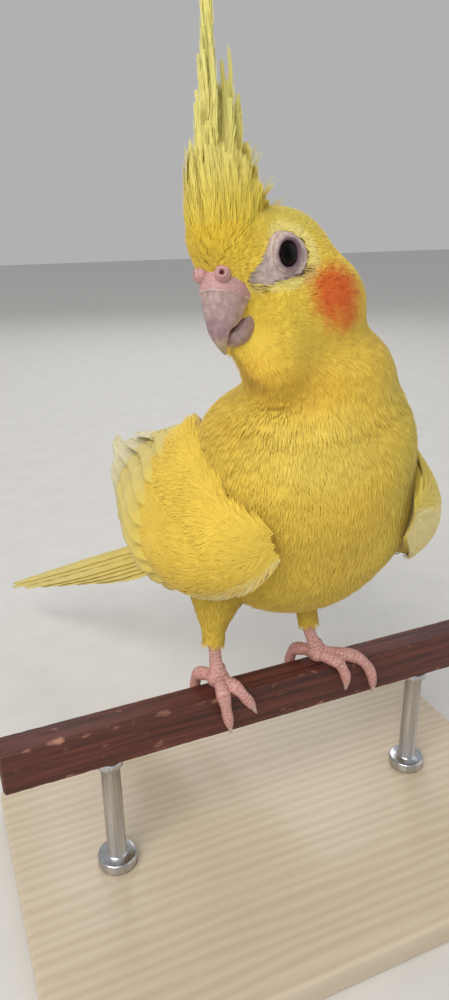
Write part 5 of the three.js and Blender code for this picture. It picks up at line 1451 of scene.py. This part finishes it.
DOWN_EDGE = np.array([[-9, 10], [-5, 8.6], [2.7, 7], [7.7, 5], [9.6, 2.2], [11.7, 0.4], [16, -0.4]])
CREST_YELLOW, CREST_BASE_YELLOW = (238, 230, 142), (232, 206, 74)
CREST_TUFTS = (("crest_plumes", CREST_WISPS, CREST_BARBS), ("crest_hairs", CREST_HAIRS, HAIR_BARBS))


def rooted(q, sunk):
    """Points of the head's frame moved to just under the flesh's surface, and the way that a feather leaves it there:
    up along the surface and a little off it."""
    places, facing = settle(from_head(q), -sunk, 8)
    facing = facing @ HEAD_AXES.T
    return to_head(places), unit(np.array([0, 0, 1]) + facing * (0.06 - np.maximum(facing[..., 2:], 0)))


def plumes(name, root, away, tip, end, half, barbs, strand, seed):
    """Long feathers in the head's frame. Each shaft is a Bezier curve that leaves its root along away and comes to
    its tip along end: (1-s)^3 root + 3s(1-s)^2 (root + away L/3) + 3s^2(1-s) (tip - end L/3) + s^3 tip. Two rows of
    barbs leave it at a narrow angle, widest low down and closing to a point."""
    n = len(root)
    more = (slice(None), None, None)
    third = np.linalg.norm(tip - root, axis=1)[:, None] / 3
    knots = [k[more] for k in (root, root + away * third, tip - end * third, tip)]

    def shaft(s):
        s = s[..., None]
        sway = 0.35 * np.sin(3.2 * s + 2.4 * np.arange(n)[more + (None,)]) * s * np.array([0, 1, 0])
        return (1 - s) ** 3 * knots[0] + 3 * s * (1 - s) ** 2 * knots[1] + (
            3 * s**2 * (1 - s) * knots[2] + s**3 * knots[3] + sway)

    def vary(step, low, high):
        return scatter((n, 2 * barbs, 1), seed + step, low, high)

    long = np.linalg.norm(tip - root, axis=1)[more]
    at = np.tile((np.arange(barbs) + 0.5) / barbs, 2)[None] + scatter((n, 2 * barbs), seed, -0.5, 0.5) / barbs
    side = np.repeat([1.0, -1.0], barbs)[None, :, None]
    start = np.clip(0.95 * at, 0, 0.96)[..., None]
    t = np.array([0, 0.5, 1])
    run = strand / long * (1 - 0.4 * start) * (1 + vary(1, -0.3, 0.3))
    s_at = start + np.minimum(run, 1.04 - start) * t
    wide = half[more] * np.interp(start, *PLUME_WIDTHS.T) * (1 + vary(2, -0.4, 0.35))
    aside = side * wide * (1 - (1 - t) ** 1.7)
    cup = vary(3, -0.4, 0.4) * t
    width = CREST_STRAND * np.array([1, 0.8, 0.12]) * (1 + vary(4, -0.3, 0.3))
    steps = np.arange(CREST_SHAFT_STEPS)[None, :, None] / CREST_SHAFT_STEPS + t / CREST_SHAFT_STEPS
    steps = np.broadcast_to(steps, (n, CREST_SHAFT_STEPS, 3))
    s_at = np.concatenate([s_at, steps], 1)
    bare = np.zeros((n, CREST_SHAFT_STEPS, 3))
    aside, cup = np.concatenate([aside, bare], 1), np.concatenate([cup, bare], 1)
    width = np.concatenate([width, 0.3 * (1.1 - steps)], 1) * np.minimum(half / 1.2, 1)[more]
    lean = np.concatenate([side * 0.25 * np.ones((n, 1, 3)), bare], 1)
    middle = shaft(s_at)
    way = unit(shaft(s_at + 0.01) - shaft(s_at - 0.01))
    angle = (root[:, 1] / CREST_ASIDE * CREST_TWIST + scatter(n, seed + 5, -0.35, 0.35))[more]
    flat = np.stack([-np.sin(angle) + 0 * s_at, np.cos(angle) + 0 * s_at, 0 * s_at], -1)
    flat = square_to(flat, way)
    face = np.cross(flat, way)
    edge = np.array([-0.5, 0.5])
    roll = np.concatenate([vary(6, -0.15, 0.15) * np.ones(3), bare], 1)
    off_way = flat - way * lean[..., None]
    places = (middle + flat * aside[..., None] + face * cup[..., None])[..., None, :] + (
        off_way[..., None, :] * (width[..., None] * edge)[..., None]) + (
        face[..., None, :] * ((width * roll)[..., None] * edge)[..., None])
    shade = np.concatenate([np.broadcast_to(0.93 + 0.1 * t, aside[:, :2 * barbs].shape), 1 + bare], 1)
    shade = shade * (1 + scatter((n, shade.shape[1], 1), seed + 7, -0.05, 0.04)) * (
        1 + scatter((n, 1, 1), seed + 8, -0.07, 0.05))
    height = ease((middle[..., 2] - 6) / 22)[..., None]
    colour = mix(linear(CREST_BASE_YELLOW), linear(CREST_YELLOW), height)
    colour = np.clip((colour * shade[..., None])[..., None, :] * np.ones((2, 1)), 0, 1)
    spot = np.stack([0.3 + 0.3 * (np.arange(n) % 10) / 10, 0.02 + 0.9 * np.arange(n) / n], 1)
    add_tufts(name, from_head(places), colour, spot, plumage, "yellow_plumage")


for k, (name, rows, barbs) in enumerate(CREST_TUFTS):
    wisp = np.repeat(rows, rows[:, 5].astype(int), axis=0)
    count, seed = len(wisp), 141 + 50 * k
    across = scatter(count, seed) * wisp[:, 3]
    root = np.stack([wisp[:, 0] + scatter(count, seed + 1, -1.3, 1.0), across, 7 + 0 * across], 1)
    root, away = rooted(root, CREST_SUNK)
    tip = np.stack([wisp[:, 1] + scatter(count, seed + 2, -0.9, 0.9),
                    across * 0.12 + scatter(count, seed + 3, -0.5, 0.5), wisp[:, 2]], 1)
    tip = root + (tip - root) * (1 - 0.42 * scatter(count, seed + 4, 0, 1) ** 1.3)[:, None]
    end = unit(np.array([-0.08 - 0.9 * k, 0, 1]) + np.zeros((count, 1)))
    plumes(name, root, away, tip, end, wisp[:, 4] * (1 - 0.4 * k), barbs, 8.0, seed + 9)

u, v = spread_roots(DOWN_DENSITY, 7.0, SPINE_END, 97)
q = to_head(flesh_surface(u, v, 0))
q = q[(q[:, 2] > np.interp(q[:, 0], *DOWN_EDGE.T)) & (off_eye_ring(q) > 0.3) & ~in_bill(q)]
count = len(q)
root, away = rooted(q, DOWN_SUNK)
length = np.interp(q[:, 0], *DOWN_LENGTHS.T) * (1 + scatter(count, 161, -0.5, 0.25))
back = np.interp(q[:, 0], *DOWN_LEANS.T) + scatter(count, 162, -0.1, 0.1)
end = unit(np.stack([-back, -0.035 * q[:, 1], np.ones(count)], 1))
tip = root + (away * 0.45 + end * 0.55) * length[:, None]
plumes("crest_down", root, away, tip, end, 1.25 * np.minimum(length / 7, 1), DOWN_BARBS, 6.0, 170)
